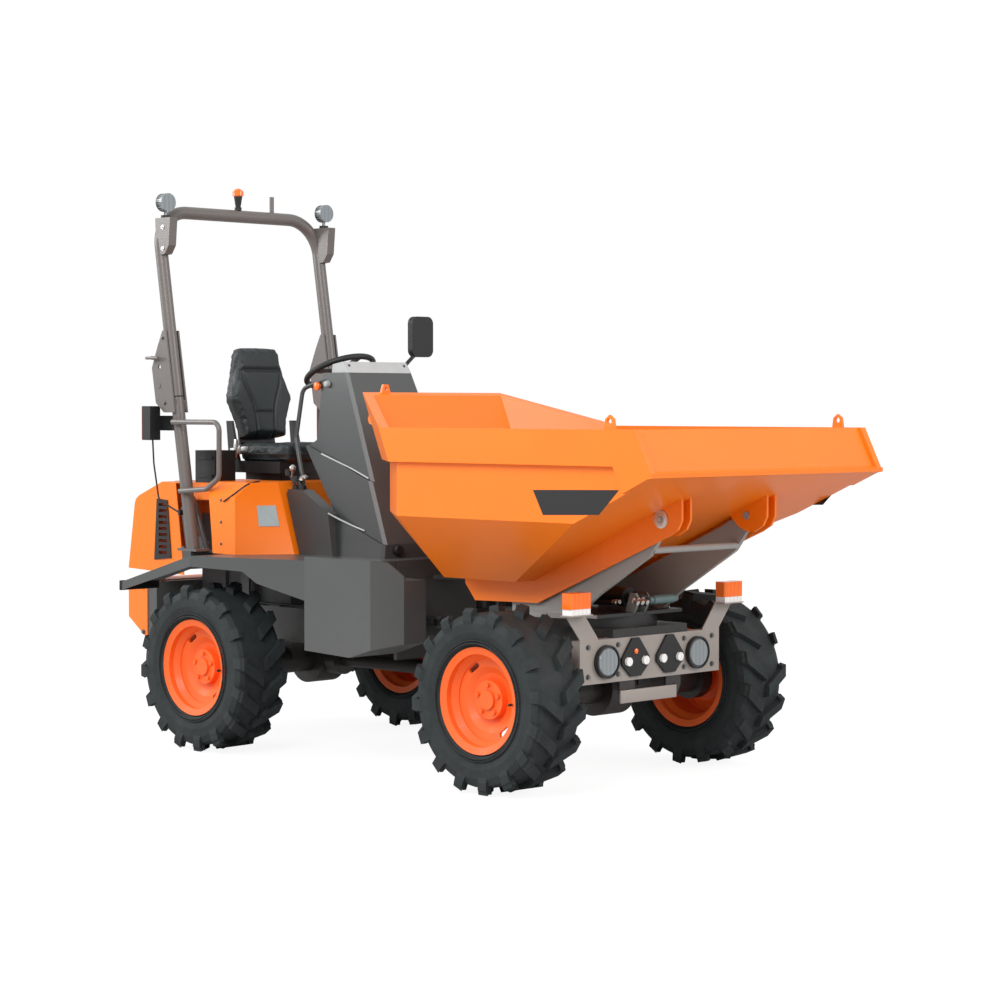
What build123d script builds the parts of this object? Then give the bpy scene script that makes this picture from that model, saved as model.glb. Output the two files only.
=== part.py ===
"""Site dumper: articulated swivel-tip dumper of about two tonnes payload.

Frame: millimetres, +X forward (skip end), +Y to the machine's left, +Z up,
origin on the ground midway between the two axles.
"""
from build123d import *

from math import atan2, cos, hypot, radians, sin, tan
import os

os.makedirs("parts", exist_ok=True)

# ---------------------------------------------------------------- running gear
WHEELBASE = 1830.0
TRACK = 1265.0
TYRE_R = 380.0         # to the lug tips
TYRE_W = 258.0
LUG_H = 27.0
LUG_TAPER = 6.0
LUG_W = 60.0
LUG_RUN = 84.0         # how far a lug trails along the tread
LUGS = 16              # on each side of the centre line
LUG_PROUD = 3.0        # how far a lug's shoulder stands out of the sidewall
LUG_SKIRT = 60.0       # how far a lug's shoulder runs down the sidewall
RIM_R = 216.5          # flange of a 15.3 inch rim
RIM_HALF = 115.0       # rim centre plane to the outer flange face
BEAD_R = 194.3
DISC_T = 12.0
HUB_R = 78.0
HUB_IN = 32.0          # hub's inner end, inboard of the centre plane
HUB_OUT = 52.0         # hub's outer end, outboard of the centre plane
SPINDLE_R = 46.0
WHEEL_NUTS = 5
SLOT_R = 150.0         # hand holes near the rim
SLOT_L = 62.0
SLOT_W = 22.0
SLOT_TURNS = (-35.0, 145.0)
NUT_CIRCLE_R = 60.0
CAP_R = 38.0
RUN_GAP = 0.4          # running clearance at pins and spindles
SEAT_GAP = 0.3         # between faces that only rest on each other
AXLE_R = 65.0

FX = WHEELBASE / 2     # front axle
RX = -WHEELBASE / 2    # rear axle
WY = TRACK / 2         # wheel centre plane
AZ = TYRE_R            # axle height

# ---------------------------------------------------------------- centre pivot
PIVOT_X = 220.0
PIVOT_PIN_R = 25.0
KNUCKLE_R = 50.0
KNUCKLE_Z0 = 500.0
KNUCKLE_Z1 = 790.0
EAR_T = 20.0
EAR_GAP = 5.0
BULKHEAD_X = 0.0

# ---------------------------------------------------------------- front chassis
FRAME_X0 = FX - 315.0
FRAME_X1 = FX + 262.0
FRAME_HALF = 230.0
FRAME_Z0 = 450.0
FRAME_Z1 = 650.0
FRAME_T = 12.0
RING_R = 300.0
RING_IN_R = 225.0
RING_Z = 685.0         # top of the fixed ring
BAR_T = 5.0            # lamp bar plate
BAR_HALF = 433.0
BAR_Z0 = 437.0
BAR_Z1 = 615.0
LAMP_SHELF_Z = 727.0   # where the indicators stand

# ---------------------------------------------------------------- swivel frame
SLEW_X = FX - 100.0    # vertical axis of the turntable
DECK_T = 22.0
ARM_Y = 265.0          # centre plane of each lifting arm
ARM_T = 20.0
TIP_X = FX + 580.0     # tip pivot
TIP_Z = 1112.0
TIP_PIN_R = 16.0
ARM_TIP_R = 26.0

# ---------------------------------------------------------------- skip
SKIP_T = 6.0
SKIP_FLOOR_Z = 835.0
SKIP_FOLD_Z = 1105.0
SKIP_BAND_Z = 1330.0
SKIP_TOP_Z = 1471.0
SKIP_REAR_Z = 1611.0
SKIP_HALF = 697.0
SKIP_REAR_HALF = 400.0
SKIP_FLOOR_HALF = 410.0
SKIP_REAR_X = FX - 892.0
SKIP_REAR_TOP_X = FX - 1012.0
SKIP_CHAMFER = 365.0   # run of each rear corner's chamfer along X
SKIP_FLOOR_X0 = FX - 550.0
SKIP_FLOOR_X1 = FX - 120.0
LIP_X = FX + 890.0
LIP_Z = 1289.0
FRONT_TOP_X = FX + 798.0
BAND_PROUD = 25.0
RAIL_T = 12.0
RAIL_GAP = 10.0        # arm to rail web

# ---------------------------------------------------------------- rear chassis
SILL_Y0 = 170.0
SILL_T = 12.0
SILL_Z0 = 460.0
SILL_Z1 = 620.0
FLOOR_Z = 885.0
FLOOR_T = 8.0
FLOOR_HALF = 450.0
TANK_Y = 620.0
GUARD_Y = 760.0
GUARD_T = 5.0
HOOP_Y = 490.0
TUBE_R = 30.0
HOOP_LEAN = 0.165      # rearward run of the posts for each unit of height
HOOP_TOP_Z = 2480.0
HOOP_BEND_R = 170.0
POST_X = -1235.0       # post axis at floor height
SPLIT_Z = 1600.0       # where the hoop folds off the lower posts
HOOP_HINGE_Z = 1655.0
HOOP_HINGE_BACK = 75.0


def block(x0, x1, y0, y1, z0, z1, mode=Mode.ADD):
    """Box between two corners."""
    with Locations(((x0 + x1) / 2, (y0 + y1) / 2, (z0 + z1) / 2)):
        Box(x1 - x0, y1 - y0, z1 - z0, mode=mode)


def slab_xz(points, y0, y1, mode=Mode.ADD):
    """Side-view outline, thick from y0 to y1."""
    with BuildSketch(Plane.XZ.offset(-y1)) as outline:
        Polygon(*points, align=None)
    extrude(outline.sketch, amount=y1 - y0, mode=mode)


def slab_xy(points, z0, z1, mode=Mode.ADD):
    """Plan outline, thick from z0 to z1."""
    with BuildSketch(Plane.XY.offset(z0)) as outline:
        Polygon(*points, align=None)
    extrude(outline.sketch, amount=z1 - z0, mode=mode)


def disc_y(x, y0, y1, z, r, mode=Mode.ADD):
    """Round bar along Y."""
    with Locations(Location((x, (y0 + y1) / 2, z), (90, 0, 0))):
        Cylinder(r, y1 - y0, mode=mode)


def disc_x(x0, x1, y, z, r, mode=Mode.ADD):
    """Round bar along X."""
    with Locations(Location(((x0 + x1) / 2, y, z), (0, 90, 0))):
        Cylinder(r, x1 - x0, mode=mode)


def disc_z(x, y, z0, z1, r, mode=Mode.ADD):
    """Round bar along Z."""
    with Locations((x, y, (z0 + z1) / 2)):
        Cylinder(r, z1 - z0, mode=mode)


def rod(a, b, r, mode=Mode.ADD):
    """Round bar between two points."""
    run = Vector(*b) - Vector(*a)
    with BuildSketch(Plane(origin=a, z_dir=run)) as section:
        Circle(r)
    extrude(section.sketch, amount=run.length, mode=mode)


def tube_path(points, bend, r):
    """Bent bar through corner points, one bend radius for each corner."""
    with BuildLine() as route:
        FilletPolyline(*points, radius=bend)
    wire = route.wires()[0]
    with BuildSketch(Plane(origin=wire @ 0, z_dir=wire % 0)) as section:
        Circle(r)
    sweep(section.sketch, path=wire)


def post_x(z):
    """Axis of the leaning posts at a height."""
    return POST_X - HOOP_LEAN * (z - FLOOR_Z)


# ---------------------------------------------------------------- wheels
tyre_half = TYRE_W / 2
tread_r = TYRE_R - LUG_H
bead_y = RIM_HALF - 7.3
tyre_outline = [
    (BEAD_R + SEAT_GAP, bead_y - 6.4), (BEAD_R + 7.6, bead_y), (RIM_R + 3, bead_y), (RIM_R + 12, tyre_half - 12),
    (RIM_R + 60, tyre_half - 1), (tread_r - 40, tyre_half - 1),
    (tread_r - 12, tyre_half - 9), (tread_r - 2, tyre_half - 30), (tread_r, 0),
]
cavity = [(BEAD_R - 1, bead_y - 16), (tread_r - 60, tyre_half - 20), (tread_r - 22, tyre_half - 42)]
rim_outline = [
    (RIM_R, RIM_HALF), (RIM_R, RIM_HALF - 7), (BEAD_R + 7, RIM_HALF - 7),
    (BEAD_R, RIM_HALF - 13), (BEAD_R - 2, RIM_HALF - 33), (BEAD_R - 22, RIM_HALF - 57),
]
rim_back = [(r - 7, y) for r, y in rim_outline[3:]]
rim_back[0] = (BEAD_R - 7, RIM_HALF - 10)
disc_outline = [
    (HUB_R - 4, 8.0), (112, 16.0), (138, 34.0), (BEAD_R - 26, 40.0),
    (BEAD_R - 26, 40.0 + DISC_T), (134, 34.0 + DISC_T), (108, 16.0 + DISC_T),
    (HUB_R - 4, 8.0 + DISC_T),
]
lug_lean = LUG_RUN / (TYRE_W / 2 - 8)
lug_shrink = tan(radians(LUG_TAPER)) * (LUG_H + 10)
lug_corner = (LUG_RUN + LUG_W) / 2 - lug_shrink * ((1 + lug_lean ** 2) ** 0.5 + lug_lean)
lug_mid = (TYRE_R ** 2 - lug_corner ** 2) ** 0.5
# lug's shoulder: outward offset, height over the lug's foot
shoulder_outline = [
    (tyre_half - 30, -16), (tyre_half - 30, lug_mid - tread_r + 10), (tyre_half - 12, lug_mid - tread_r + 9),
    (tyre_half + LUG_PROUD, lug_mid - tread_r - 6), (tyre_half + LUG_PROUD, -16),
    (tyre_half - 3, 14 - LUG_SKIRT), (tyre_half - 12, 14 - LUG_SKIRT),
]


def wheel_section(points, x, y_mid, side, mode=Mode.ADD):
    """Revolve an outline of (radius, outward offset) about a wheel axis."""
    section_plane = Plane(origin=(x, y_mid, AZ), x_dir=(0, 0, 1), z_dir=(1, 0, 0))
    axis = Axis((x, y_mid, AZ), (0, 1, 0))
    flip = -side
    with BuildSketch(section_plane) as section:
        Polygon(*[(r, flip * y) for r, y in points], align=None)
    revolve(section.sketch, axis=axis, mode=mode)


def tyre_solid(x, side):
    """Tyre with its chevron lugs."""
    mirror_half = [(r, -y) for r, y in reversed(tyre_outline[:-1])]
    wheel_section(tyre_outline + mirror_half, x, side * WY, side)
    hollow = cavity + [(r, -y) for r, y in reversed(cavity)]
    wheel_section(hollow, x, side * WY, side, mode=Mode.SUBTRACT)
    pitch = 360.0 / LUGS
    for hand in (1, -1):
        for index in range(LUGS):
            turn = pitch * (index + (0.5 if hand > 0 else 0.0))
            up = (sin(radians(turn)), 0, cos(radians(turn)))
            along = (cos(radians(turn)), 0, -sin(radians(turn)))
            foot = Vector(x, side * WY, AZ) + Vector(*up) * (tread_r - 14)
            lug_plane = Plane(origin=foot, x_dir=along, z_dir=up)
            inner = hand * 6.0
            outer = hand * (tyre_half - 2.0)
            with BuildSketch(lug_plane) as lug:
                Polygon(
                    (LUG_RUN / 2 - LUG_W / 2, inner), (LUG_RUN / 2 + LUG_W / 2, inner),
                    (-LUG_RUN / 2 + LUG_W / 2, outer), (-LUG_RUN / 2 - LUG_W / 2, outer),
                    align=None,
                )
            extrude(lug.sketch, amount=lug_mid - tread_r + 14, taper=LUG_TAPER)
            shoulder_plane = Plane(origin=foot - Vector(*along) * (LUG_RUN + LUG_W - 12) / 2,
                                   x_dir=(0, 1, 0), z_dir=along)
            with BuildSketch(shoulder_plane) as shoulder:
                Polygon(*[(hand * y, up_by) for y, up_by in shoulder_outline], align=None)
            extrude(shoulder.sketch, amount=LUG_W - 12)


def rim_solid(x, side):
    """Dished rim with a closed hub, bored for the spindle from inboard."""
    mirrored = [(r, -y) for r, y in reversed(rim_outline)]
    inner = [(r, -y) for r, y in rim_back] + [(r, y) for r, y in reversed(rim_back)]
    wheel_section(rim_outline + mirrored + inner, x, side * WY, side)
    wheel_section(disc_outline, x, side * WY, side)
    y_mid = side * WY
    ends = sorted((y_mid - side * HUB_IN, y_mid + side * HUB_OUT))
    disc_y(x, ends[0], ends[1], AZ, HUB_R)
    bore = sorted((y_mid - side * (HUB_IN + 1), y_mid + side * (HUB_OUT - 18)))
    disc_y(x, bore[0], bore[1], AZ, SPINDLE_R + RUN_GAP, mode=Mode.SUBTRACT)
    nuts_y = sorted((y_mid + side * HUB_OUT, y_mid + side * (HUB_OUT + 12)))
    for index in range(WHEEL_NUTS):
        turn = radians(360.0 / WHEEL_NUTS * index + 18)
        disc_y(x + NUT_CIRCLE_R * cos(turn), nuts_y[0], nuts_y[1], AZ + NUT_CIRCLE_R * sin(turn), 9)
    disc_y(x, nuts_y[0], nuts_y[1], AZ, CAP_R)
    for turn in SLOT_TURNS:
        slot_plane = Plane(origin=(x + SLOT_R * sin(radians(turn)), y_mid, AZ + SLOT_R * cos(radians(turn))),
                           x_dir=(cos(radians(turn)), 0, -sin(radians(turn))), z_dir=(0, side, 0))
        with BuildSketch(slot_plane) as slot:
            SlotOverall(SLOT_L, SLOT_W)
        extrude(slot.sketch, amount=HUB_OUT + 20, mode=Mode.SUBTRACT)


with BuildPart() as front_right_tyre:
    tyre_solid(FX, -1)
with BuildPart() as front_right_rim:
    rim_solid(FX, -1)
front_left_tyre = front_right_tyre.part.mirror(Plane.XZ)
front_left_rim = front_right_rim.part.mirror(Plane.XZ)
rear_right_tyre = front_right_tyre.part.moved(Location((RX - FX, 0, 0)))
rear_left_tyre = front_left_tyre.moved(Location((RX - FX, 0, 0)))
rear_right_rim = front_right_rim.part.moved(Location((RX - FX, 0, 0)))
rear_left_rim = front_left_rim.moved(Location((RX - FX, 0, 0)))

# ---------------------------------------------------------------- axles
hub_face = WY - HUB_IN - EAR_GAP
spindle_end = WY + HUB_OUT - 18 - EAR_GAP


def axle_solid(x, nose):
    """Rigid axle: tube, reduction housing, saddles and spindles."""
    disc_y(x, -hub_face + 60, hub_face - 60, AZ, AXLE_R)
    for side in (-1, 1):
        ends = sorted((side * (hub_face - 60), side * hub_face))
        disc_y(x, ends[0], ends[1], AZ, 95)
        ends = sorted((side * hub_face, side * spindle_end))
        disc_y(x, ends[0], ends[1], AZ, SPINDLE_R)
        saddle = sorted((side * 140, side * 220))
        block(x - 70, x + 70, saddle[0], saddle[1], AZ, FRAME_Z0)
    disc_y(x, -75, 75, AZ, 118)
    ends = sorted((x, x + nose * 190))
    disc_x(ends[0], ends[1], 0, AZ, 72)


with BuildPart() as front_axle:
    axle_solid(FX, -1)
    disc_x(PIVOT_X + 90, FX - 190, 0, AZ, 32)
    disc_x(PIVOT_X + 50, PIVOT_X + 90, 0, AZ, 52)
with BuildPart() as rear_axle:
    axle_solid(RX, 1)
    for side in (-1, 1):
        saddle = sorted((side * 140, side * 220))
        block(RX - 70, RX + 70, saddle[0], saddle[1], FRAME_Z0, SILL_Z0)
    disc_x(RX + 190, PIVOT_X - 90, 0, AZ, 32)
    disc_x(PIVOT_X - 90, PIVOT_X - 50, 0, AZ, 52)

# ---------------------------------------------------------------- rear chassis
TUNNEL_X0 = -640.0
BEAM_W = 60.0
BEAM_H = 75.0
TAIL_X = -1690.0
TAIL_BEAM = 68.0       # depth of the cross beam at the tail
TAIL_HALF = 410.0
TAIL_Z0 = 450.0
TAIL_Z1 = 716.0
WEIGHT_X = -1877.0     # rearmost face of the counterweight
WEIGHT_Z0 = 437.0
WEIGHT_Z1 = 720.0
WEIGHT_NOSE_Z = 566.0  # where its lower chamfer starts
WEIGHT_HALF = 415.0
BONNET_PIN_X = -1800.0
BONNET_PIN_Z = 745.0
BONNET_PIN_R = 10.0
HINGE_Y = 232.0        # inner face of each hinge lug of the bonnet
HINGE_T = 16.0
SCREEN_Y = 400.0       # side panels ahead of the bonnet
ear_top = KNUCKLE_Z1 + EAR_GAP
ear_bottom = KNUCKLE_Z0 - EAR_GAP
STEER_Z = 612.0
STEER_REAR = (80.0, -160.0)
STEER_FRONT = (FRAME_X0 - 50, -140.0)
EYE_HALF = 14.0        # half height of a steering cylinder eye
LUG_PLATE = 12.0

with BuildPart() as rear_frame:
    for side in (-1, 1):
        sill = sorted((side * SILL_Y0, side * (SILL_Y0 + SILL_T)))
        block(TAIL_X, BULKHEAD_X, sill[0], sill[1], SILL_Z0, SILL_Z1)
        block(TUNNEL_X0, BULKHEAD_X, sill[0], sill[1], SILL_Z1, FLOOR_Z - FLOOR_T)
        block(POST_X - BEAM_W / 2, POST_X + BEAM_W / 2, sill[0], sill[1], SILL_Z1, FLOOR_Z - FLOOR_T)
        seat = sorted((side * (FLOOR_HALF - 5), side * (HOOP_Y + 40)))
        block(POST_X - BEAM_W / 2, POST_X + BEAM_W / 2, seat[0], seat[1], FLOOR_Z - FLOOR_T - 1, FLOOR_Z)
    block(BULKHEAD_X - 20, BULKHEAD_X, -340, 340, FRAME_Z0, FLOOR_Z - FLOOR_T)
    block(TUNNEL_X0, TUNNEL_X0 + 10, -SILL_Y0 - 1, SILL_Y0 + 1, SILL_Z1 - 40, FLOOR_Z - FLOOR_T)
    block(TAIL_X, TAIL_X + TAIL_BEAM, -TAIL_HALF, TAIL_HALF, TAIL_Z0, TAIL_Z1)
    for side in (-1, 1):
        screen = sorted((side * SCREEN_Y, side * (SCREEN_Y + 6)))
        slab_xz([(POST_X + 10, FLOOR_Z - FLOOR_T - 5), (-1396, FLOOR_Z - FLOOR_T - 5), (-1437, 1080),
                 (-1360, 1100), (-1310, 950), (POST_X + 10, 920)], screen[0], screen[1])
    block(POST_X - BEAM_W / 2, POST_X + BEAM_W / 2, -HOOP_Y - 40, HOOP_Y + 40,
          FLOOR_Z - FLOOR_T - BEAM_H, FLOOR_Z - FLOOR_T)
    block(POST_X - BEAM_W / 2, BULKHEAD_X, -FLOOR_HALF, FLOOR_HALF, FLOOR_Z - FLOOR_T, FLOOR_Z)
    for z0, z1 in ((ear_top, ear_top + EAR_T), (ear_bottom - EAR_T, ear_bottom)):
        slab_xy([(BULKHEAD_X - 5, -120), (PIVOT_X - 20, -55), (PIVOT_X - 20, 55),
                 (BULKHEAD_X - 5, 120)], z0, z1)
        disc_z(PIVOT_X, 0, z0, z1, 55)
    disc_z(PIVOT_X, 0, ear_bottom - EAR_T, ear_top + EAR_T, PIVOT_PIN_R)
    for z in (STEER_Z - EYE_HALF - 1 - LUG_PLATE, STEER_Z + EYE_HALF + 1):
        block(BULKHEAD_X - 5, STEER_REAR[0], STEER_REAR[1] - 25, STEER_REAR[1] + 25,
              z, z + LUG_PLATE)
        disc_z(STEER_REAR[0], STEER_REAR[1], z, z + LUG_PLATE, 25)
    disc_z(STEER_REAR[0], STEER_REAR[1], STEER_Z - EYE_HALF - LUG_PLATE,
           STEER_Z + EYE_HALF + LUG_PLATE, 12)

with BuildPart() as engine_block:
    block(-1600, -1420, -150, 150, SILL_Z1 + 12, 1040)
    block(-1425, -960, -130, 130, SILL_Z1 + 12, 780)
    for x in (-1560, -1020):
        block(x - 40, x + 40, -SILL_Y0 - SILL_T, SILL_Y0 + SILL_T, SILL_Z1, SILL_Z1 + 12)

with BuildPart() as counterweight:
    weight_x1 = TAIL_X - SEAT_GAP
    slab_xz([(weight_x1, WEIGHT_Z1), (WEIGHT_X + 7, WEIGHT_Z1), (WEIGHT_X, WEIGHT_NOSE_Z),
             (weight_x1, WEIGHT_Z0)], -WEIGHT_HALF, WEIGHT_HALF)
    for side in (-1, 1):
        slab_xy([(WEIGHT_X - 1, side * (WEIGHT_HALF - 40)), (WEIGHT_X + 40, side * (WEIGHT_HALF + 1)),
                 (WEIGHT_X - 1, side * (WEIGHT_HALF + 1))], WEIGHT_Z0 - 1, WEIGHT_Z1 + 1, mode=Mode.SUBTRACT)
        lug = sorted((side * HINGE_Y, side * (HINGE_Y + HINGE_T)))
        block(BONNET_PIN_X - 14, BONNET_PIN_X + 14, lug[0], lug[1], WEIGHT_Z1 - 4, BONNET_PIN_Z)
        disc_y(BONNET_PIN_X, lug[0], lug[1], BONNET_PIN_Z, 14)
        pin = sorted((side * HINGE_Y, side * (HINGE_Y + 34)))
        disc_y(BONNET_PIN_X, pin[0], pin[1], BONNET_PIN_Z, BONNET_PIN_R)

# ---------------------------------------------------------------- front chassis
with BuildPart() as front_frame:
    block(FRAME_X0, FRAME_X1, -FRAME_HALF, FRAME_HALF, FRAME_Z0, FRAME_Z1)
    block(FRAME_X0 + FRAME_T, FRAME_X1 - FRAME_T, -FRAME_HALF + FRAME_T,
          FRAME_HALF - FRAME_T, FRAME_Z0 - 1, FRAME_Z1 - FRAME_T, mode=Mode.SUBTRACT)
    disc_z(SLEW_X, 0, FRAME_Z1, RING_Z, RING_R)
    disc_z(SLEW_X, 0, FRAME_Z1 - FRAME_T - 1, RING_Z + 1, RING_IN_R, mode=Mode.SUBTRACT)
    for z0, z1 in ((520, 536), (660, 676)):
        block(PIVOT_X, FRAME_X0 + 5, -95, 95, z0, z1)
    block(PIVOT_X, FRAME_X0 + 5, -6, 6, 530, 670)
    disc_z(PIVOT_X, 0, KNUCKLE_Z0, KNUCKLE_Z1, KNUCKLE_R)
    block(PIVOT_X - 120, PIVOT_X, -100, -KNUCKLE_R, 500, 720, mode=Mode.SUBTRACT)
    disc_z(PIVOT_X, 0, KNUCKLE_Z0 - 1, KNUCKLE_Z1 + 1, PIVOT_PIN_R + RUN_GAP,
           mode=Mode.SUBTRACT)
    block(FRAME_X0 - 10, FRAME_X0 + 5, -95, 95, 520, 676)
    for z in (STEER_Z - EYE_HALF - 1 - LUG_PLATE, STEER_Z + EYE_HALF + 1):
        block(STEER_FRONT[0], FRAME_X0 + 5, STEER_FRONT[1] - 25, STEER_FRONT[1] + 25,
              z, z + LUG_PLATE)
        disc_z(STEER_FRONT[0], STEER_FRONT[1], z, z + LUG_PLATE, 25)
    for side in (-1, 1):
        with BuildSketch(Plane.YZ.offset(FRAME_X1 - FRAME_T)) as tie_down:
            Polygon((side * 190, FRAME_Z0 + 20), (side * 190, 395), (side * 165, 352), (side * 122, 352),
                    (side * 97, 395), (side * 97, FRAME_Z0 + 20), align=None)
            with Locations((side * 143, 385)):
                Circle(17, mode=Mode.SUBTRACT)
        extrude(tie_down.sketch, amount=FRAME_T)

with BuildPart() as lamp_bar:
    block(FRAME_X1, FRAME_X1 + BAR_T, -BAR_HALF, BAR_HALF, BAR_Z0, BAR_Z1)
    for z0, z1 in ((BAR_Z0, BAR_Z0 + BAR_T), (BAR_Z1 - BAR_T, BAR_Z1)):
        block(FRAME_X1 - 40, FRAME_X1 + BAR_T, -BAR_HALF, -FRAME_HALF - SEAT_GAP, z0, z1)
        block(FRAME_X1 - 40, FRAME_X1 + BAR_T, FRAME_HALF + SEAT_GAP, BAR_HALF, z0, z1)
    for side in (-1, 1):
        edge = sorted((side * BAR_HALF, side * (BAR_HALF - BAR_T)))
        block(FRAME_X1 - 40, FRAME_X1 + BAR_T, edge[0], edge[1], BAR_Z0, BAR_Z1)
        with BuildSketch(Plane.YZ.offset(FRAME_X1)) as arm:
            Polygon((side * 326, BAR_Z1 - 20), (side * (BAR_HALF - 1), BAR_Z1 - 20), (side * BAR_HALF, BAR_Z1 + 6),
                    (side * 520, LAMP_SHELF_Z), (side * 410, LAMP_SHELF_Z), (side * 326, BAR_Z1 + 6), align=None)
        extrude(arm.sketch, amount=BAR_T)
        shelf = sorted((side * 410, side * 536))
        block(FRAME_X1 - 5, FRAME_X1 + BAR_T + 50, shelf[0], shelf[1], LAMP_SHELF_Z - BAR_T, LAMP_SHELF_Z)

bar_face = FRAME_X1 + BAR_T
HEADLAMP_R = 68.0
with BuildPart() as headlamps:
    for side in (-1, 1):
        disc_x(bar_face, bar_face + 20, side * 282, 524, HEADLAMP_R)
        disc_x(bar_face + 12, bar_face + 21, side * 282, 524, HEADLAMP_R - 7, mode=Mode.SUBTRACT)
        with BuildSketch(Plane(origin=(bar_face + 10, side * 282, 524), z_dir=(1, 0, 0))) as glass:
            Circle(HEADLAMP_R - 7)
        extrude(glass.sketch, amount=10, taper=35)

with BuildPart() as indicators:
    for side in (-1, 1):
        foot = sorted((side * 418, side * 530))
        block(FRAME_X1, FRAME_X1 + 50, foot[0], foot[1], LAMP_SHELF_Z, LAMP_SHELF_Z + 24)
        head = sorted((side * 414, side * 534))
        block(FRAME_X1 - 3, FRAME_X1 + 53, head[0], head[1], LAMP_SHELF_Z + 24, LAMP_SHELF_Z + 88)
    corners = indicators.edges().filter_by(Axis.Z)
    fillet(corners.filter_by(lambda edge: edge.length > 50), 9)

SOCKET_Y = 107.0
with BuildPart() as trailer_sockets:
    for y in (-SOCKET_Y, SOCKET_Y):
        with BuildSketch(Plane.YZ.offset(bar_face)) as plate:
            Polygon((y - 20, 611), (y + 20, 611), (y + 84, 530), (y + 84, 505), (y + 30, 453),
                    (y - 30, 453), (y - 84, 505), (y - 84, 530), align=None)
        extrude(plate.sketch, amount=12)
        for across in (-52, 52):
            disc_x(bar_face + 10, bar_face + 24, y + across, 516, 18)

# ---------------------------------------------------------------- swivel frame
deck_z0 = RING_Z + SEAT_GAP
deck_z1 = deck_z0 + DECK_T
ramp_slope = (LIP_Z - SKIP_FLOOR_Z) / (LIP_X - SKIP_FLOOR_X1)
CYL_BASE = (SLEW_X + 300.0, 760.0)
CYL_HEAD = (FX - 220.0, 785.0)
CYL_R = 40.0
CYL_EYE_HALF = 24.0
CROSS_R = 14.0


def ramp_z(x):
    """Underside of the skip's sloping floor."""
    return SKIP_FLOOR_Z + max(0.0, x - SKIP_FLOOR_X1) * ramp_slope


with BuildPart() as swivel_frame:
    disc_z(SLEW_X, 0, deck_z0, deck_z1, RING_R)
    for side in (-1, 1):
        faces = sorted((side * (ARM_Y - ARM_T / 2), side * (ARM_Y + ARM_T / 2)))
        slab_xz([(SLEW_X - 170, deck_z1 - 8), (FX + 100, deck_z1 - 8), (FX + 220, 790),
                 (FX + 500, 962), (TIP_X + 4, TIP_Z - 40), (TIP_X + 24, TIP_Z), (TIP_X - 8, TIP_Z + 24),
                 (FX + 420, ramp_z(FX + 420) - 20), (SKIP_FLOOR_X1, SKIP_FLOOR_Z - 20),
                 (SLEW_X - 170, SKIP_FLOOR_Z - 30)], faces[0], faces[1])
        disc_y(TIP_X, faces[0], faces[1], TIP_Z, ARM_TIP_R)
        pin = sorted((side * (ARM_Y - ARM_T / 2 - RAIL_GAP - RAIL_T - 6),
                      side * (ARM_Y + ARM_T / 2 + RAIL_GAP + RAIL_T + 8)))
        disc_y(TIP_X, pin[0], pin[1], TIP_Z, TIP_PIN_R)
        lug = sorted((side * (CYL_EYE_HALF + 2), side * (CYL_EYE_HALF + 2 + LUG_PLATE)))
        slab_xz([(CYL_BASE[0] - 45, deck_z1 - 2), (CYL_BASE[0] + 5, deck_z1 - 10),
                 (CYL_BASE[0] + 30, CYL_BASE[1]), (CYL_BASE[0] + 12, CYL_BASE[1] + 26),
                 (CYL_BASE[0] - 18, CYL_BASE[1] + 26)], lug[0], lug[1])
    block(CYL_BASE[0] - 60, CYL_BASE[0] + 5, -ARM_Y, ARM_Y, deck_z1 - 14, deck_z1)
    disc_y(CYL_BASE[0], -CYL_EYE_HALF - 2 - LUG_PLATE, CYL_EYE_HALF + 2 + LUG_PLATE,
           CYL_BASE[1], 14)
    disc_y(FX + 507, -ARM_Y, ARM_Y, 985, CROSS_R)

# ---------------------------------------------------------------- tip cylinder
cyl_run = Vector(CYL_HEAD[0] - CYL_BASE[0], 0, CYL_HEAD[1] - CYL_BASE[1])
cyl_dir = cyl_run.normalized()
cyl_from = Vector(CYL_BASE[0], 0, CYL_BASE[1])


def on_cyl(distance):
    """Point on the tip cylinder's axis."""
    return tuple(cyl_from + cyl_dir * distance)


BARREL_L = 355.0
with BuildPart() as tip_barrel:
    rod(on_cyl(20), on_cyl(70), CYL_EYE_HALF - 2)
    rod(on_cyl(62), on_cyl(BARREL_L), CYL_R)
    rod(on_cyl(74), on_cyl(BARREL_L + 1), CYL_R - 8, mode=Mode.SUBTRACT)
    disc_y(CYL_BASE[0], -CYL_EYE_HALF, CYL_EYE_HALF, CYL_BASE[1], 32)
    disc_y(CYL_BASE[0], -CYL_EYE_HALF - 1, CYL_EYE_HALF + 1, CYL_BASE[1], 14 + RUN_GAP,
           mode=Mode.SUBTRACT)
with BuildPart() as tip_sleeve:
    rod(on_cyl(76), on_cyl(BARREL_L + 12), CYL_R - 8 - RUN_GAP)
    rod(on_cyl(88), on_cyl(BARREL_L + 13), CYL_R - 16, mode=Mode.SUBTRACT)
with BuildPart() as tip_rod:
    rod(on_cyl(90), on_cyl(cyl_run.length - 10), CYL_R - 16 - RUN_GAP)
    disc_y(CYL_HEAD[0], -CYL_EYE_HALF, CYL_EYE_HALF, CYL_HEAD[1], 28)
    disc_y(CYL_HEAD[0], -CYL_EYE_HALF - 1, CYL_EYE_HALF + 1, CYL_HEAD[1], 13,
           mode=Mode.SUBTRACT)

# ---------------------------------------------------------------- steering cylinder
steer_from = Vector(STEER_REAR[0], STEER_REAR[1], STEER_Z)
steer_run = Vector(STEER_FRONT[0], STEER_FRONT[1], STEER_Z) - steer_from
steer_dir = steer_run.normalized()
STEER_R = 24.0
STEER_BARREL = 290.0


def on_steer(distance):
    """Point on the steering cylinder's axis."""
    return tuple(steer_from + steer_dir * distance)


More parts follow.
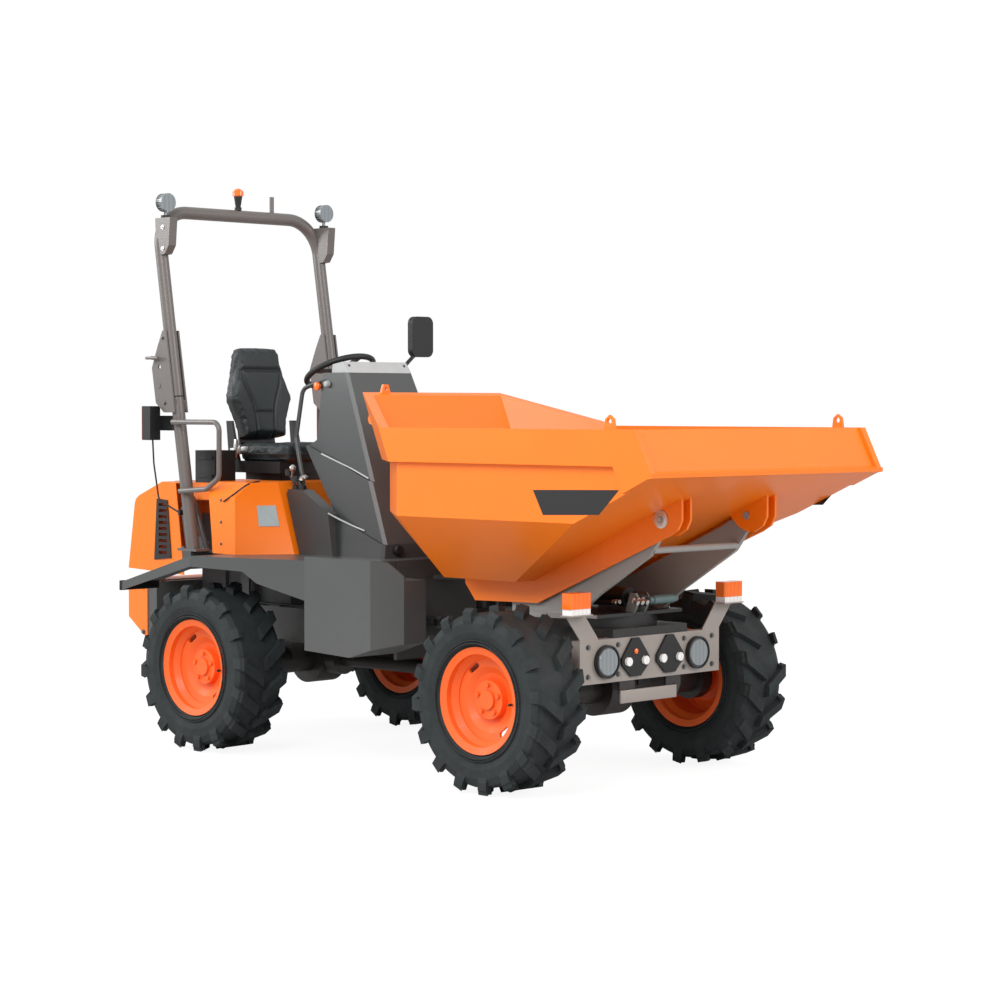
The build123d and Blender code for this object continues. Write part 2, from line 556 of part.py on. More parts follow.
with BuildPart() as steer_barrel:
    rod(on_steer(10), on_steer(50), 12)
    rod(on_steer(40), on_steer(STEER_BARREL), STEER_R)
    rod(on_steer(60), on_steer(STEER_BARREL + 1), 14 + RUN_GAP, mode=Mode.SUBTRACT)
    disc_z(STEER_REAR[0], STEER_REAR[1], STEER_Z - EYE_HALF, STEER_Z + EYE_HALF, 25)
    disc_z(STEER_REAR[0], STEER_REAR[1], STEER_Z - EYE_HALF - 1, STEER_Z + EYE_HALF + 1,
           12 + RUN_GAP, mode=Mode.SUBTRACT)
with BuildPart() as steer_rod:
    rod(on_steer(170), on_steer(steer_run.length - 10), 14)
    disc_z(STEER_FRONT[0], STEER_FRONT[1], STEER_Z - EYE_HALF, STEER_Z + EYE_HALF, 24)
    disc_z(STEER_FRONT[0], STEER_FRONT[1], STEER_Z - EYE_HALF - 1, STEER_Z + EYE_HALF + 1,
           12, mode=Mode.SUBTRACT)

# ---------------------------------------------------------------- skip
lift = SKIP_REAR_Z - SKIP_BAND_Z
NOSE_X = LIP_X + 60.0


def tub(inset, floor_z, top_z):
    """Skip body between its floor and top, before the ramp and front are cut."""
    chamfer_y = SKIP_HALF - SKIP_REAR_HALF
    low = SKIP_FOLD_Z - SKIP_FLOOR_Z
    rear_slope = (SKIP_FLOOR_X0 - SKIP_REAR_X) / low
    side_slope = (SKIP_HALF - SKIP_FLOOR_HALF) / low
    rear_in = inset * (1 + rear_slope ** 2) ** 0.5
    side_in = inset * (1 + side_slope ** 2) ** 0.5
    corner = 6.0
    rise = floor_z - SKIP_FLOOR_Z
    flare = (SKIP_REAR_TOP_X - SKIP_REAR_X) / lift * (top_z - SKIP_BAND_Z)
    rows = [
        (floor_z, SKIP_FLOOR_X0 - rise * rear_slope + rear_in,
         SKIP_FLOOR_HALF + rise * side_slope - side_in, corner, corner),
        (SKIP_FOLD_Z, SKIP_REAR_X + inset, SKIP_HALF - inset, SKIP_CHAMFER, chamfer_y),
        (SKIP_BAND_Z, SKIP_REAR_X + inset, SKIP_HALF - inset, SKIP_CHAMFER, chamfer_y),
        (top_z, SKIP_REAR_X + flare + inset, SKIP_HALF - inset, SKIP_CHAMFER, chamfer_y),
    ]
    sections = []
    for z, rear, half, run, cut in rows:
        with BuildSketch(Plane.XY.offset(z)) as ring:
            Polygon((rear, -half + cut), (rear + run, -half), (NOSE_X, -half),
                    (NOSE_X, half), (rear + run, half), (rear, half - cut), align=None)
        sections.append(ring.sketch.faces()[0])
    return sections


with BuildPart() as outer_tub:
    loft(tub(0.0, SKIP_FLOOR_Z, SKIP_REAR_Z + 40), ruled=True)
with BuildPart() as inner_tub:
    loft(tub(SKIP_T, SKIP_FLOOR_Z + SKIP_T, SKIP_REAR_Z + 41), ruled=True)

front_lean = (FRONT_TOP_X - LIP_X) / (SKIP_TOP_Z - LIP_Z)
top_slope_x = SKIP_REAR_TOP_X + SKIP_CHAMFER + 60


def front_x(z, back=0.0):
    """Front panel's outer face at a height."""
    return LIP_X + (z - LIP_Z) * front_lean - back


def ahead_of_front(z0, z1, back):
    """Side-view outline of everything ahead of the front panel's face."""
    return [(front_x(z0, back), z0), (NOSE_X + 200, z0), (NOSE_X + 200, z1),
            (front_x(z1, back), z1)]


def below_ramp(up):
    """Side-view outline of everything under the sloping floor."""
    return [(SKIP_FLOOR_X1 - 2000, SKIP_FLOOR_Z + up), (SKIP_FLOOR_X1 - up * 0.2, SKIP_FLOOR_Z + up),
            (NOSE_X + 200, ramp_z(NOSE_X + 200) + up * 1.1), (NOSE_X + 200, 400),
            (SKIP_FLOOR_X1 - 2000, 400)]


above_rim = [
    (SKIP_REAR_TOP_X - 200, SKIP_REAR_Z + (SKIP_REAR_Z - SKIP_TOP_Z) * 200
     / (top_slope_x - SKIP_REAR_TOP_X)),
    (top_slope_x, SKIP_TOP_Z), (NOSE_X + 200, SKIP_TOP_Z), (NOSE_X + 200, 2400),
    (SKIP_REAR_TOP_X - 200, 2400),
]
wide = SKIP_HALF + 100

with BuildPart() as skip_shell:
    add(outer_tub.part)
    slab_xz(ahead_of_front(700, 1900, 0.0), -wide, wide, mode=Mode.SUBTRACT)
    slab_xz(below_ramp(0.0), -wide, wide, mode=Mode.SUBTRACT)

with BuildPart() as skip_space:
    add(inner_tub.part)
    slab_xz(ahead_of_front(700, 1900, SKIP_T * 1.12), -wide, wide, mode=Mode.SUBTRACT)
    slab_xz(below_ramp(SKIP_T), -wide, wide, mode=Mode.SUBTRACT)

half_band = SKIP_HALF + BAND_PROUD
LIP_BAR = 16.0         # how far the lip bar stands ahead of the front panel
LIP_BAR_H = 24.0
flare_top = (SKIP_REAR_TOP_X - SKIP_REAR_X) / lift
EAR_Z = 1506.0         # tie eyes at the rear corners
REAR_EYE_Y = -300.0


def rear_band_x(z):
    """Rear face of the rim band at a height."""
    return SKIP_REAR_X + flare_top * (z - SKIP_BAND_Z) - BAND_PROUD


with BuildPart() as rim_band:
    rings = []
    for z in (SKIP_BAND_Z, SKIP_REAR_Z + 40):
        rear = SKIP_REAR_X + flare_top * (z - SKIP_BAND_Z) - BAND_PROUD
        cut = SKIP_HALF - SKIP_REAR_HALF
        with BuildSketch(Plane.XY.offset(z)) as ring:
            Polygon((rear, -half_band + cut), (rear + SKIP_CHAMFER, -half_band),
                    (NOSE_X, -half_band), (NOSE_X, half_band),
                    (rear + SKIP_CHAMFER, half_band), (rear, half_band - cut), align=None)
        rings.append(ring.sketch.faces()[0])
    loft(rings, ruled=True)
    slab_xz([(FX + 705, SKIP_BAND_Z), (FX + 756, 1228), (LIP_X + 60, 1228),
             (LIP_X + 60, SKIP_BAND_Z)], -half_band, half_band)
    slab_xz(ahead_of_front(700, 1900, 0.0), -wide, wide, mode=Mode.SUBTRACT)
    slab_xz(below_ramp(0.0), -wide, wide, mode=Mode.SUBTRACT)

with BuildPart() as skip_body:
    add(skip_shell.part)
    add(rim_band.part)
    add(skip_space.part, mode=Mode.SUBTRACT)
    slab_xz(above_rim, -wide, wide, mode=Mode.SUBTRACT)
    for side in (-1, 1):
        faces = sorted((side * (half_band - 18), side * (half_band - 6)))
        slab_xz([(FX + 655, SKIP_TOP_Z - 4), (FX + 711, SKIP_TOP_Z - 4), (FX + 704, SKIP_TOP_Z + 40),
                 (FX + 683, SKIP_TOP_Z + 56), (FX + 662, SKIP_TOP_Z + 40)], faces[0], faces[1])
        disc_y(FX + 683, faces[0] - 1, faces[1] + 1, SKIP_TOP_Z + 30, 12, mode=Mode.SUBTRACT)
        edge = sorted((side * (half_band - BAND_PROUD - SKIP_T), side * half_band))
        slab_xz([(front_x(LIP_Z) - 5, LIP_Z), (front_x(LIP_Z) + LIP_BAR, LIP_Z),
                 (front_x(SKIP_TOP_Z) + LIP_BAR, SKIP_TOP_Z), (front_x(SKIP_TOP_Z) - 5, SKIP_TOP_Z)],
                edge[0], edge[1])
        ear = sorted((side * (SKIP_REAR_HALF - 12), side * SKIP_REAR_HALF))
        slab_xz([(rear_band_x(EAR_Z + 42) + 8, EAR_Z + 42), (rear_band_x(EAR_Z) - 34, EAR_Z + 20),
                 (rear_band_x(EAR_Z) - 42, EAR_Z - 4), (rear_band_x(EAR_Z) - 34, EAR_Z - 22),
                 (rear_band_x(EAR_Z - 42) + 8, EAR_Z - 42)], ear[0], ear[1])
        disc_y(rear_band_x(EAR_Z) - 18, ear[0] - 1, ear[1] + 1, EAR_Z, 9, mode=Mode.SUBTRACT)
    slab_xz([(front_x(LIP_Z) - 5, LIP_Z - 4), (front_x(LIP_Z) + LIP_BAR, LIP_Z),
             (front_x(LIP_Z) + LIP_BAR, LIP_Z + LIP_BAR_H - 8), (front_x(LIP_Z + LIP_BAR_H) - 3, LIP_Z + LIP_BAR_H)],
            -half_band, half_band)
    with BuildSketch(Plane.YZ.offset(SKIP_REAR_TOP_X - BAND_PROUD)) as rear_eye:
        Polygon((REAR_EYE_Y - 32, SKIP_REAR_Z - 6), (REAR_EYE_Y + 32, SKIP_REAR_Z - 6),
                (REAR_EYE_Y + 14, SKIP_REAR_Z + 44), (REAR_EYE_Y - 14, SKIP_REAR_Z + 44), align=None)
        with Locations((REAR_EYE_Y, SKIP_REAR_Z + 24)):
            Circle(9, mode=Mode.SUBTRACT)
    extrude(rear_eye.sketch, amount=12)

web_out = ARM_Y + ARM_T / 2 + RAIL_GAP
web_in = ARM_Y - ARM_T / 2 - RAIL_GAP
RAIL_X0 = FX - 530.0
NOSE_RUN = 105.0
with BuildPart() as skip_rails:
    for side in (-1, 1):
        faces = sorted((side * web_out, side * (web_out + RAIL_T)))
        slab_xz([(RAIL_X0, SKIP_FLOOR_Z), (RAIL_X0, 805), (FX - 471, 735), (FX - 101, 743),
                 (TIP_X + 40, 1046), (TIP_X + 85, 1072), (TIP_X + NOSE_RUN, 1110),
                 (TIP_X + NOSE_RUN, ramp_z(TIP_X + NOSE_RUN)),
                 (SKIP_FLOOR_X1, SKIP_FLOOR_Z)], faces[0], faces[1])
        disc_y(TIP_X, faces[0] - 1, faces[1] + 1, TIP_Z, TIP_PIN_R + RUN_GAP,
               mode=Mode.SUBTRACT)
        faces = sorted((side * (web_in - RAIL_T), side * web_in))
        slab_xz([(TIP_X - 90, ramp_z(TIP_X - 90)), (TIP_X - 45, 1066), (TIP_X, 1046), (TIP_X + 40, 1046),
                 (TIP_X + 85, 1072), (TIP_X + NOSE_RUN, 1110),
                 (TIP_X + NOSE_RUN, ramp_z(TIP_X + NOSE_RUN))], faces[0], faces[1])
        disc_y(TIP_X, faces[0] - 1, faces[1] + 1, TIP_Z, TIP_PIN_R + RUN_GAP,
               mode=Mode.SUBTRACT)
        lug = sorted((side * (CYL_EYE_HALF + 6), side * (CYL_EYE_HALF + 6 + LUG_PLATE)))
        slab_xz([(CYL_HEAD[0] - 50, SKIP_FLOOR_Z), (CYL_HEAD[0] - 22, CYL_HEAD[1] - 24),
                 (CYL_HEAD[0] + 22, CYL_HEAD[1] - 24), (CYL_HEAD[0] + 50, SKIP_FLOOR_Z)],
                lug[0], lug[1])
        disc_y(CYL_HEAD[0], lug[0] - 1, lug[1] + 1, CYL_HEAD[1], 13, mode=Mode.SUBTRACT)

# ---------------------------------------------------------------- guards and tanks
KINK_X = RX - 5.0
TANK_X0 = -292.0
TANK_X1 = 137.0
TANK_CUT = 92.0        # chamfer that clears the turning front wheel
TANK_Z0 = 492.0
TANK_LOW = 815.0       # top where the skip's rear corner passes over
TANK_TOP = 903.0       # top of its raised outer edge
TANK_IN_Y = 345.0

with BuildPart() as guards:
    plan = [(KINK_X, FLOOR_HALF), (KINK_X, GUARD_Y), (TANK_X0, TANK_Y), (TANK_X0, FLOOR_HALF)]
    slab_xy(plan, FLOOR_Z - GUARD_T, FLOOR_Z)
    slab_xz([(KINK_X, FLOOR_Z), (KINK_X, FLOOR_Z - GUARD_T), (-1430, 739), (-1430, 744)],
            HOOP_Y + 45, GUARD_Y)
    slab_xz([(KINK_X, FLOOR_Z), (KINK_X, FLOOR_Z - 48), (-1430, 706), (-1430, 744)],
            GUARD_Y - GUARD_T, GUARD_Y)
    skirt = Plane(origin=(KINK_X, GUARD_Y, 0), x_dir=(TANK_X0 - KINK_X, TANK_Y - GUARD_Y, 0),
                  z_dir=(TANK_Y - GUARD_Y, KINK_X - TANK_X0, 0))
    skirt_run = hypot(TANK_X0 - KINK_X, TANK_Y - GUARD_Y)
    with BuildSketch(skirt) as apron:
        Polygon((0, FLOOR_Z), (0, FLOOR_Z - 48), (300, FLOOR_Z - 60), (380, FLOOR_Z - 110),
                (520, FLOOR_Z - 145), (skirt_run, FLOOR_Z - 175), (skirt_run, FLOOR_Z), align=None)
    extrude(apron.sketch, amount=GUARD_T)
    mirror(about=Plane.XZ)

with BuildPart() as tanks:
    slab_xz([(TANK_X0, TANK_Z0), (0, TANK_Z0 - 12), (0, FLOOR_Z - FLOOR_T),
             (TANK_X0, FLOOR_Z - FLOOR_T)], TANK_IN_Y, TANK_Y)
    slab_xz([(0, TANK_Z0 - 12), (TANK_X1, 520), (TANK_X1 + TANK_CUT, 545),
             (TANK_X1 + TANK_CUT, TANK_LOW), (0, TANK_LOW)], TANK_IN_Y, TANK_Y)
    slab_xy([(TANK_X0, TANK_Y - 8), (TANK_X0, TANK_Y), (TANK_X1 + TANK_CUT, TANK_Y),
             (TANK_X1 + TANK_CUT, TANK_Y - TANK_CUT * 1.2 - 8), (TANK_X1, TANK_Y - 8)],
            TANK_LOW - 10, TANK_TOP)
    slab_xy([(TANK_X1, TANK_Y), (TANK_X1 + TANK_CUT, TANK_Y - TANK_CUT * 1.2),
             (TANK_X1 + TANK_CUT + 9, TANK_Y + 9)], TANK_Z0 - 60, 920, mode=Mode.SUBTRACT)
    slab_xy([(60, TANK_IN_Y - 1), (TANK_X1 + TANK_CUT + 2, TANK_IN_Y - 1), (TANK_X1 + TANK_CUT + 2, 382),
             (190, 376)], TANK_Z0 - 60, 920, mode=Mode.SUBTRACT)
    slab_xz([(TANK_X1, TANK_TOP), (TANK_X1 + 46, TANK_TOP - 8), (TANK_X1 + 69, TANK_TOP - 38),
             (TANK_X1 + TANK_CUT, TANK_TOP - 70), (TANK_X1 + TANK_CUT + 9, TANK_TOP + 20),
             (TANK_X1, TANK_TOP + 20)], TANK_IN_Y, TANK_Y + 1, mode=Mode.SUBTRACT)
    mirror(about=Plane.XZ)

# ---------------------------------------------------------------- operator's station
PLINTH_TOP = 1210.0
PLINTH_EDGE = 1145.0   # top of its flanks
PLINTH_T = 6.0
PLINTH_HALF = 550.0
SHOULDER_HALF = 470.0  # where the sloping shoulders start
SHOULDER_X0 = -1140.0
SHOULDER_RUN = 400.0
# a wall's thickness square to the slope, as a share of its height
SHOULDER_FALL = cos(atan2(PLINTH_TOP - PLINTH_EDGE, PLINTH_HALF - SHOULDER_HALF))
SHELF_Z0 = 1120.0      # band of the shelf behind the seat
SHELF_X0 = -1385.0
SHELF_HALF = 396.0
# half of the plan at the floor and at the top: x, y
plinth_foot = [(-1160, 440), (-1015, PLINTH_HALF), (-855, PLINTH_HALF), (-680, 345)]
plinth_head = [(-1160, 440), (-1050, PLINTH_HALF), (-855, PLINTH_HALF), (-795, 345)]


def plinth_rings(inset, z0, z1):
    """Plan sections of the seat plinth; a positive inset gives the space inside."""
    rings = []
    for z, corners in ((z0, plinth_foot), (z1, plinth_head)):
        shrunk = [(x + (inset if x < -1000 else -inset), y - inset) for x, y in corners]
        with BuildSketch(Plane.XY.offset(z)) as ring:
            Polygon(*[(x, -y) for x, y in shrunk], *reversed(shrunk), align=None)
        rings.append(ring.sketch.faces()[0])
    return rings


def cut_shoulders(drop):
    """Cuts the slopes along the plinth's sides; a drop cuts them that much lower."""
    for side in (-1, 1):
        edge = (side * (PLINTH_HALF + 1), PLINTH_EDGE - drop)
        crest = (side * SHOULDER_HALF, PLINTH_TOP - drop)
        with BuildSketch(Plane.YZ.offset(SHOULDER_X0)) as shoulder:
            Polygon(edge, crest, (crest[0], PLINTH_TOP + 1), (edge[0], PLINTH_TOP + 1), align=None)
        extrude(shoulder.sketch, amount=SHOULDER_RUN, mode=Mode.SUBTRACT)


with BuildPart() as plinth_space:
    loft(plinth_rings(PLINTH_T, FLOOR_Z - 1, PLINTH_TOP - PLINTH_T), ruled=True)
    cut_shoulders(PLINTH_T / SHOULDER_FALL)
with BuildPart() as seat_plinth:
    loft(plinth_rings(0.0, FLOOR_Z, PLINTH_TOP), ruled=True)
    cut_shoulders(0.0)
    add(plinth_space.part, mode=Mode.SUBTRACT)
    block(SHELF_X0, -1150, -SHELF_HALF, SHELF_HALF, SHELF_Z0, 1200)
    block(SHELF_X0 - 1, -1156, -SHELF_HALF + PLINTH_T, SHELF_HALF - PLINTH_T, SHELF_Z0 - 1,
          1200 - PLINTH_T, mode=Mode.SUBTRACT)

SEAT_X = -1145.0
PAN_Z0 = 1245.0
PAN_Z1 = 1300.0
CUSHION_T = 85.0
BACK_AT_X = SEAT_X - 205
BACK_AT_Z = 1622.0
BACK_T = 78.0
BACK_LEAN = 8.0
# seat back: distance above its centre, half width
back_outline = [(-228, 132), (-140, 158), (-36, 198), (-12, 197), (86, 165), (198, 136), (228, 112)]


def back_x(z):
    """Where the seat back's rear face lies at height z."""
    lean = radians(BACK_LEAN)
    return BACK_AT_X - BACK_T / 2 / cos(lean) - (z - BACK_AT_Z) * tan(lean)


with BuildPart() as seat_base:
    block(SEAT_X - 130, SEAT_X + 140, -140, 140, PLINTH_TOP, PAN_Z0)
    block(SEAT_X - 160, SEAT_X + 180, -190, 190, PAN_Z0, PAN_Z1)
    post_foot = PAN_Z1 + 85
    post_head = PAN_Z1 + 210
    slab_xz([(SEAT_X - 176, PAN_Z0), (SEAT_X - 160, PAN_Z0), (SEAT_X - 160, post_foot - 40),
             (back_x(post_foot) - SEAT_GAP, post_foot), (back_x(post_head) - SEAT_GAP, post_head),
             (back_x(post_head) - 10, post_head), (back_x(post_foot) - 10, post_foot - 10),
             (SEAT_X - 176, post_foot - 60)], -110, 110)
    for side in (-1, 1):
        faces = sorted((side * 189, side * 203))
        slab_xz([(SEAT_X - 176, PAN_Z0 + 10), (SEAT_X - 90, PAN_Z0 + 10), (SEAT_X - 120, PAN_Z1 + 40),
                 (SEAT_X - 160, post_head - 20), (SEAT_X - 200, post_head - 20)], faces[0], faces[1])
with BuildPart() as seat_cushion:
    block(SEAT_X - 159, SEAT_X + 230, -188, 188, PAN_Z1, PAN_Z1 + CUSHION_T)
    fillet(seat_cushion.edges().filter_by(Axis.Z), 50)
    fillet(seat_cushion.faces().sort_by(Axis.Z)[-1].edges(), 25)
back_plane = Plane(origin=(BACK_AT_X, 0, BACK_AT_Z), x_dir=(0, 1, 0),
                   z_dir=(cos(radians(BACK_LEAN)), 0, sin(radians(BACK_LEAN))))
with BuildPart() as seat_back:
    with BuildSketch(back_plane) as outline:
        Polygon(*[(half, up) for up, half in back_outline],
                *[(-half, up) for up, half in reversed(back_outline)], align=None)
        fillet(outline.vertices(), 16)
    extrude(outline.sketch, amount=BACK_T / 2, both=True)
    fillet(seat_back.faces().sort_by(Axis.X)[-1].edges(), 22)
with BuildPart() as air_cleaner:
    block(-1345, -1200, -390, -265, 1200, 1352)
    block(-1330, -1215, -396, -259, 1225, 1240)
    block(-1330, -1215, -396, -259, 1310, 1325)

CONSOLE_T = 6.0
CONSOLE_TOP = 1712.0
COWL_HALF = 195.0
STEP_OUT = 12.0        # how far each lower panel stands out from the one above
# leg shield sections: height, rear edge x, front face x, half width
console_rows = [(FLOOR_Z, -720, -137, 276), (947, -720, -137, 270), (CONSOLE_TOP, -720, -476, 205)]
# rear edge of the shield's sides, from the cowl down to the floor
side_edge = [(-640, CONSOLE_TOP), (-655, 1405), (-715, 1375), (-480, 1070), (-450, FLOOR_Z)]
CORNER = 14.0


def console_rings(inset, out=0.0):
    """Plan sections of the leg shield; a positive inset gives the space behind it."""
    rings = []
    for index, (z, x0, x1, half) in enumerate(console_rows):
        level = z + inset * (-1, 0, 1)[index]
        rear = x0 - inset * 10
        wide_half = half + out - inset
        with BuildSketch(Plane.XY.offset(level)) as ring:
            Polygon((rear, -wide_half), (x1 - CORNER, -wide_half), (x1 - inset, -wide_half + CORNER),
                    (x1 - inset, wide_half - CORNER), (x1 - CORNER, wide_half), (rear, wide_half),
                    align=None)
        rings.append(ring.sketch.faces()[0])
    return rings


# what lies below each crease of the sides
below_step = [
    [(-900, 1452), (-120, 1172), (-120, FLOOR_Z - 5), (-900, FLOOR_Z - 5)],
    [(-900, 1222), (-120, 938), (-120, FLOOR_Z - 5), (-900, FLOOR_Z - 5)],
]
WHEEL_TILT = 25.0
WHEEL_AT = (-755.0, 0.0, 1722.0)
WHEEL_R = 160.0
COLUMN_L = 438.0
column_dir = Vector(sin(radians(WHEEL_TILT)), 0, -cos(radians(WHEEL_TILT)))
HANDRAIL_Y = 226.0
HANDRAIL_R = 10.0
POD_Y0 = 262.0
POD_Y1 = 326.0
POD_TOP = 1180.0


def on_column(length):
    """Point on the steering column, at a distance below the wheel."""
    at = Vector(*WHEEL_AT) + column_dir * length
    return (at.X, at.Y, at.Z)


skins = []
for index, out in enumerate((STEP_OUT, 2 * STEP_OUT)):
    with BuildPart() as skin:
        loft(console_rings(0.0, out), ruled=True)
        slab_xz(below_step[index], -400, 400, mode=Mode.INTERSECT)
    skins.append(skin.part)

with BuildPart() as console:
    loft(console_rings(0.0), ruled=True)
    for skin_part in skins:
        add(skin_part)
    loft(console_rings(CONSOLE_T), ruled=True, mode=Mode.SUBTRACT)
    slab_xz([(-1000, CONSOLE_TOP + 9), *[(x, z + (9 if z == CONSOLE_TOP else 0)) for x, z in side_edge[:-1]],
             (side_edge[-1][0], FLOOR_Z - 9), (-1000, FLOOR_Z - 9)], -400, 400, mode=Mode.SUBTRACT)
    collar = on_column(COLUMN_L + 22)
    disc_y(collar[0], -236, 236, collar[2], 14)
    rod(on_column(COLUMN_L), on_column(COLUMN_L + 44), 34)
    for side in (-1, 1):
        y = side * HANDRAIL_Y
        tube_path([(-600, y - side * 30, 1690), (-768, y - side * 10, 1640), (-806, y, 1410), (-715, y + side * 36, 1215),
                   (-655, y + side * 62, 1120)], 45, HANDRAIL_R)
        pod = sorted((side * POD_Y0, side * POD_Y1))
        slab_xz([(-668, FLOOR_Z), (-757, 1160), (-745, POD_TOP), (-650, POD_TOP), (-470, 1075), (-440, FLOOR_Z)],
                pod[0], pod[1])

with BuildPart() as dash_cowl:
    slab_xz([(-590, CONSOLE_TOP), (-476, CONSOLE_TOP), (-515, CONSOLE_TOP + 50),
             (-585, CONSOLE_TOP + 38)], -COWL_HALF, COWL_HALF)

with BuildPart() as control_levers:
    for x, y, reach, knob_z in ((-725, -294, 47, 1256), (-672, -303, 35, 1226)):
        disc_z(x, y, POD_TOP + SEAT_GAP, POD_TOP + 18, 18)
        rod((x, y, POD_TOP + 9), (x - reach, y - 6, knob_z), 7)
        disc_z(x - reach, y - 6, knob_z - 14, knob_z + 14, 16)

with BuildPart() as steering_wheel:
    with Locations(Location(WHEEL_AT, (0, -WHEEL_TILT, 0))):
        Torus(WHEEL_R, 14)
        Cylinder(42, 28)
        Box(2 * WHEEL_R, 32, 9)
        Box(32, 2 * WHEEL_R, 9)
    rod(WHEEL_AT, on_column(COLUMN_L - SEAT_GAP), 22)

PLATE_IN = TUBE_R + 3          # hinge plates: inner and outer faces from the tube's centre
PLATE_OUT = TUBE_R + 11
LOCK_HOLE = (-1434.0, 1744.0)
LOCK_PIN = (-1461.0, 1786.0)
with BuildPart() as lower_posts:
    for side in (-1, 1):
        block(POST_X - 70, POST_X + 70, side * HOOP_Y - 40, side * HOOP_Y + 40, FLOOR_Z, FLOOR_Z + 12)
        rod((post_x(FLOOR_Z + 8), side * HOOP_Y, FLOOR_Z + 8),
            (post_x(SPLIT_Z), side * HOOP_Y, SPLIT_Z), TUBE_R)
        for face in (-1, 1):
            faces = sorted((side * HOOP_Y + face * PLATE_IN, side * HOOP_Y + face * PLATE_OUT))
            slab_xz([(post_x(1530) + 20, 1530), (post_x(1530) - 60, 1530), (-1463, 1575), (-1492, 1740),
                     (-1445, 1847), (post_x(1915) - 5, 1915), (post_x(1915) + 18, 1915),
                     (post_x(1600) + 20, 1600)], faces[0], faces[1])
            disc_y(LOCK_HOLE[0], faces[0] - 1, faces[1] + 1, LOCK_HOLE[1], 10, mode=Mode.SUBTRACT)
        block(post_x(1570) - 25, post_x(1570) + 20, side * HOOP_Y - TUBE_R - 5,
              side * HOOP_Y + TUBE_R + 5, 1540, 1590)
        hinge_x = post_x(HOOP_HINGE_Z) - HOOP_HINGE_BACK
        disc_y(hinge_x, side * HOOP_Y - TUBE_R - 14, side * HOOP_Y + TUBE_R + 14, HOOP_HINGE_Z, 12)
        grip = sorted((side * (HOOP_Y + PLATE_OUT - 1), side * (HOOP_Y + PLATE_OUT + 26)))
        disc_y(LOCK_PIN[0], grip[0], grip[1], LOCK_PIN[1], 9)
        grip_mid = side * (HOOP_Y + PLATE_OUT + 22)
        disc_x(LOCK_PIN[0] - 45, LOCK_PIN[0] + 45, grip_mid, LOCK_PIN[1], 7)

BRACKET_X = post_x(2330)
WORK_LAMP_R = 43.0
WORK_LAMP_Z = HOOP_TOP_Z + 36
BRACKET_Z1 = HOOP_TOP_Z - 36
SOCKET_POST_Y = 212.0
with BuildPart() as hoop:
    leg_z = SPLIT_Z + EAR_GAP
    tube_path([(post_x(leg_z), -HOOP_Y, leg_z), (post_x(HOOP_TOP_Z), -HOOP_Y, HOOP_TOP_Z),
               (post_x(HOOP_TOP_Z), HOOP_Y, HOOP_TOP_Z), (post_x(leg_z), HOOP_Y, leg_z)],
              HOOP_BEND_R, TUBE_R)
    for side in (-1, 1):
        hinge_x = post_x(HOOP_HINGE_Z) - HOOP_HINGE_BACK
        block(hinge_x, post_x(HOOP_HINGE_Z), side * HOOP_Y - 20, side * HOOP_Y + 20,
              HOOP_HINGE_Z - 24, HOOP_HINGE_Z + 24)
        disc_y(hinge_x, side * HOOP_Y - 20, side * HOOP_Y + 20, HOOP_HINGE_Z, 24)
        disc_y(hinge_x, side * HOOP_Y - 21, side * HOOP_Y + 21, HOOP_HINGE_Z, 12 + RUN_GAP,
               mode=Mode.SUBTRACT)
        box_faces = sorted((side * (HOOP_Y - 20), side * (HOOP_Y + 24)))
        slab_xz([(BRACKET_X, BRACKET_Z1 - 176), (BRACKET_X + 62, BRACKET_Z1 - 170),
                 (BRACKET_X + 92, BRACKET_Z1 - 130), (BRACKET_X + 104, BRACKET_Z1), (BRACKET_X - 10, BRACKET_Z1)],
                box_faces[0], box_faces[1])
    disc_z(post_x(HOOP_TOP_Z), SOCKET_POST_Y, HOOP_TOP_Z, HOOP_TOP_Z + TUBE_R + 76, 11)

with BuildPart() as work_lamps:
    for side in (-1, 1):
        lamp_y = side * (HOOP_Y + 2)
        disc_z(BRACKET_X + 42, lamp_y, BRACKET_Z1, BRACKET_Z1 + 12, 22)
        disc_z(BRACKET_X + 42, lamp_y, BRACKET_Z1 + 8, WORK_LAMP_Z - 30, 8)
        disc_x(BRACKET_X + 22, BRACKET_X + 66, lamp_y, WORK_LAMP_Z, WORK_LAMP_R)
        with BuildSketch(Plane(origin=(BRACKET_X + 23, lamp_y, WORK_LAMP_Z), z_dir=(-1, 0, 0))) as shell:
            Circle(WORK_LAMP_R)
        extrude(shell.sketch, amount=18, taper=40)

beacon_foot = HOOP_TOP_Z + TUBE_R
with BuildPart() as beacon:
    disc_z(post_x(HOOP_TOP_Z), 0, beacon_foot + SEAT_GAP, beacon_foot + 14, 17)
    with BuildSketch(Plane.XY.offset(beacon_foot + 12)) as stem:
        with Locations((post_x(HOOP_TOP_Z), 0)):
            Circle(12)
    extrude(stem.sketch, amount=58, taper=-9)
    disc_z(post_x(HOOP_TOP_Z), 0, beacon_foot + 70, beacon_foot + 92, 27)
    with Locations((post_x(HOOP_TOP_Z), 0, beacon_foot + 92)):
        Sphere(27, arc_size1=0)
    block(post_x(HOOP_TOP_Z) - 40, post_x(HOOP_TOP_Z) + 40, -40, 40, beacon_foot + 108, beacon_foot + 130,
          mode=Mode.SUBTRACT)

# ---------------------------------------------------------------- bonnet
BONNET_HALF = 415.0
BONNET_T = 4.0
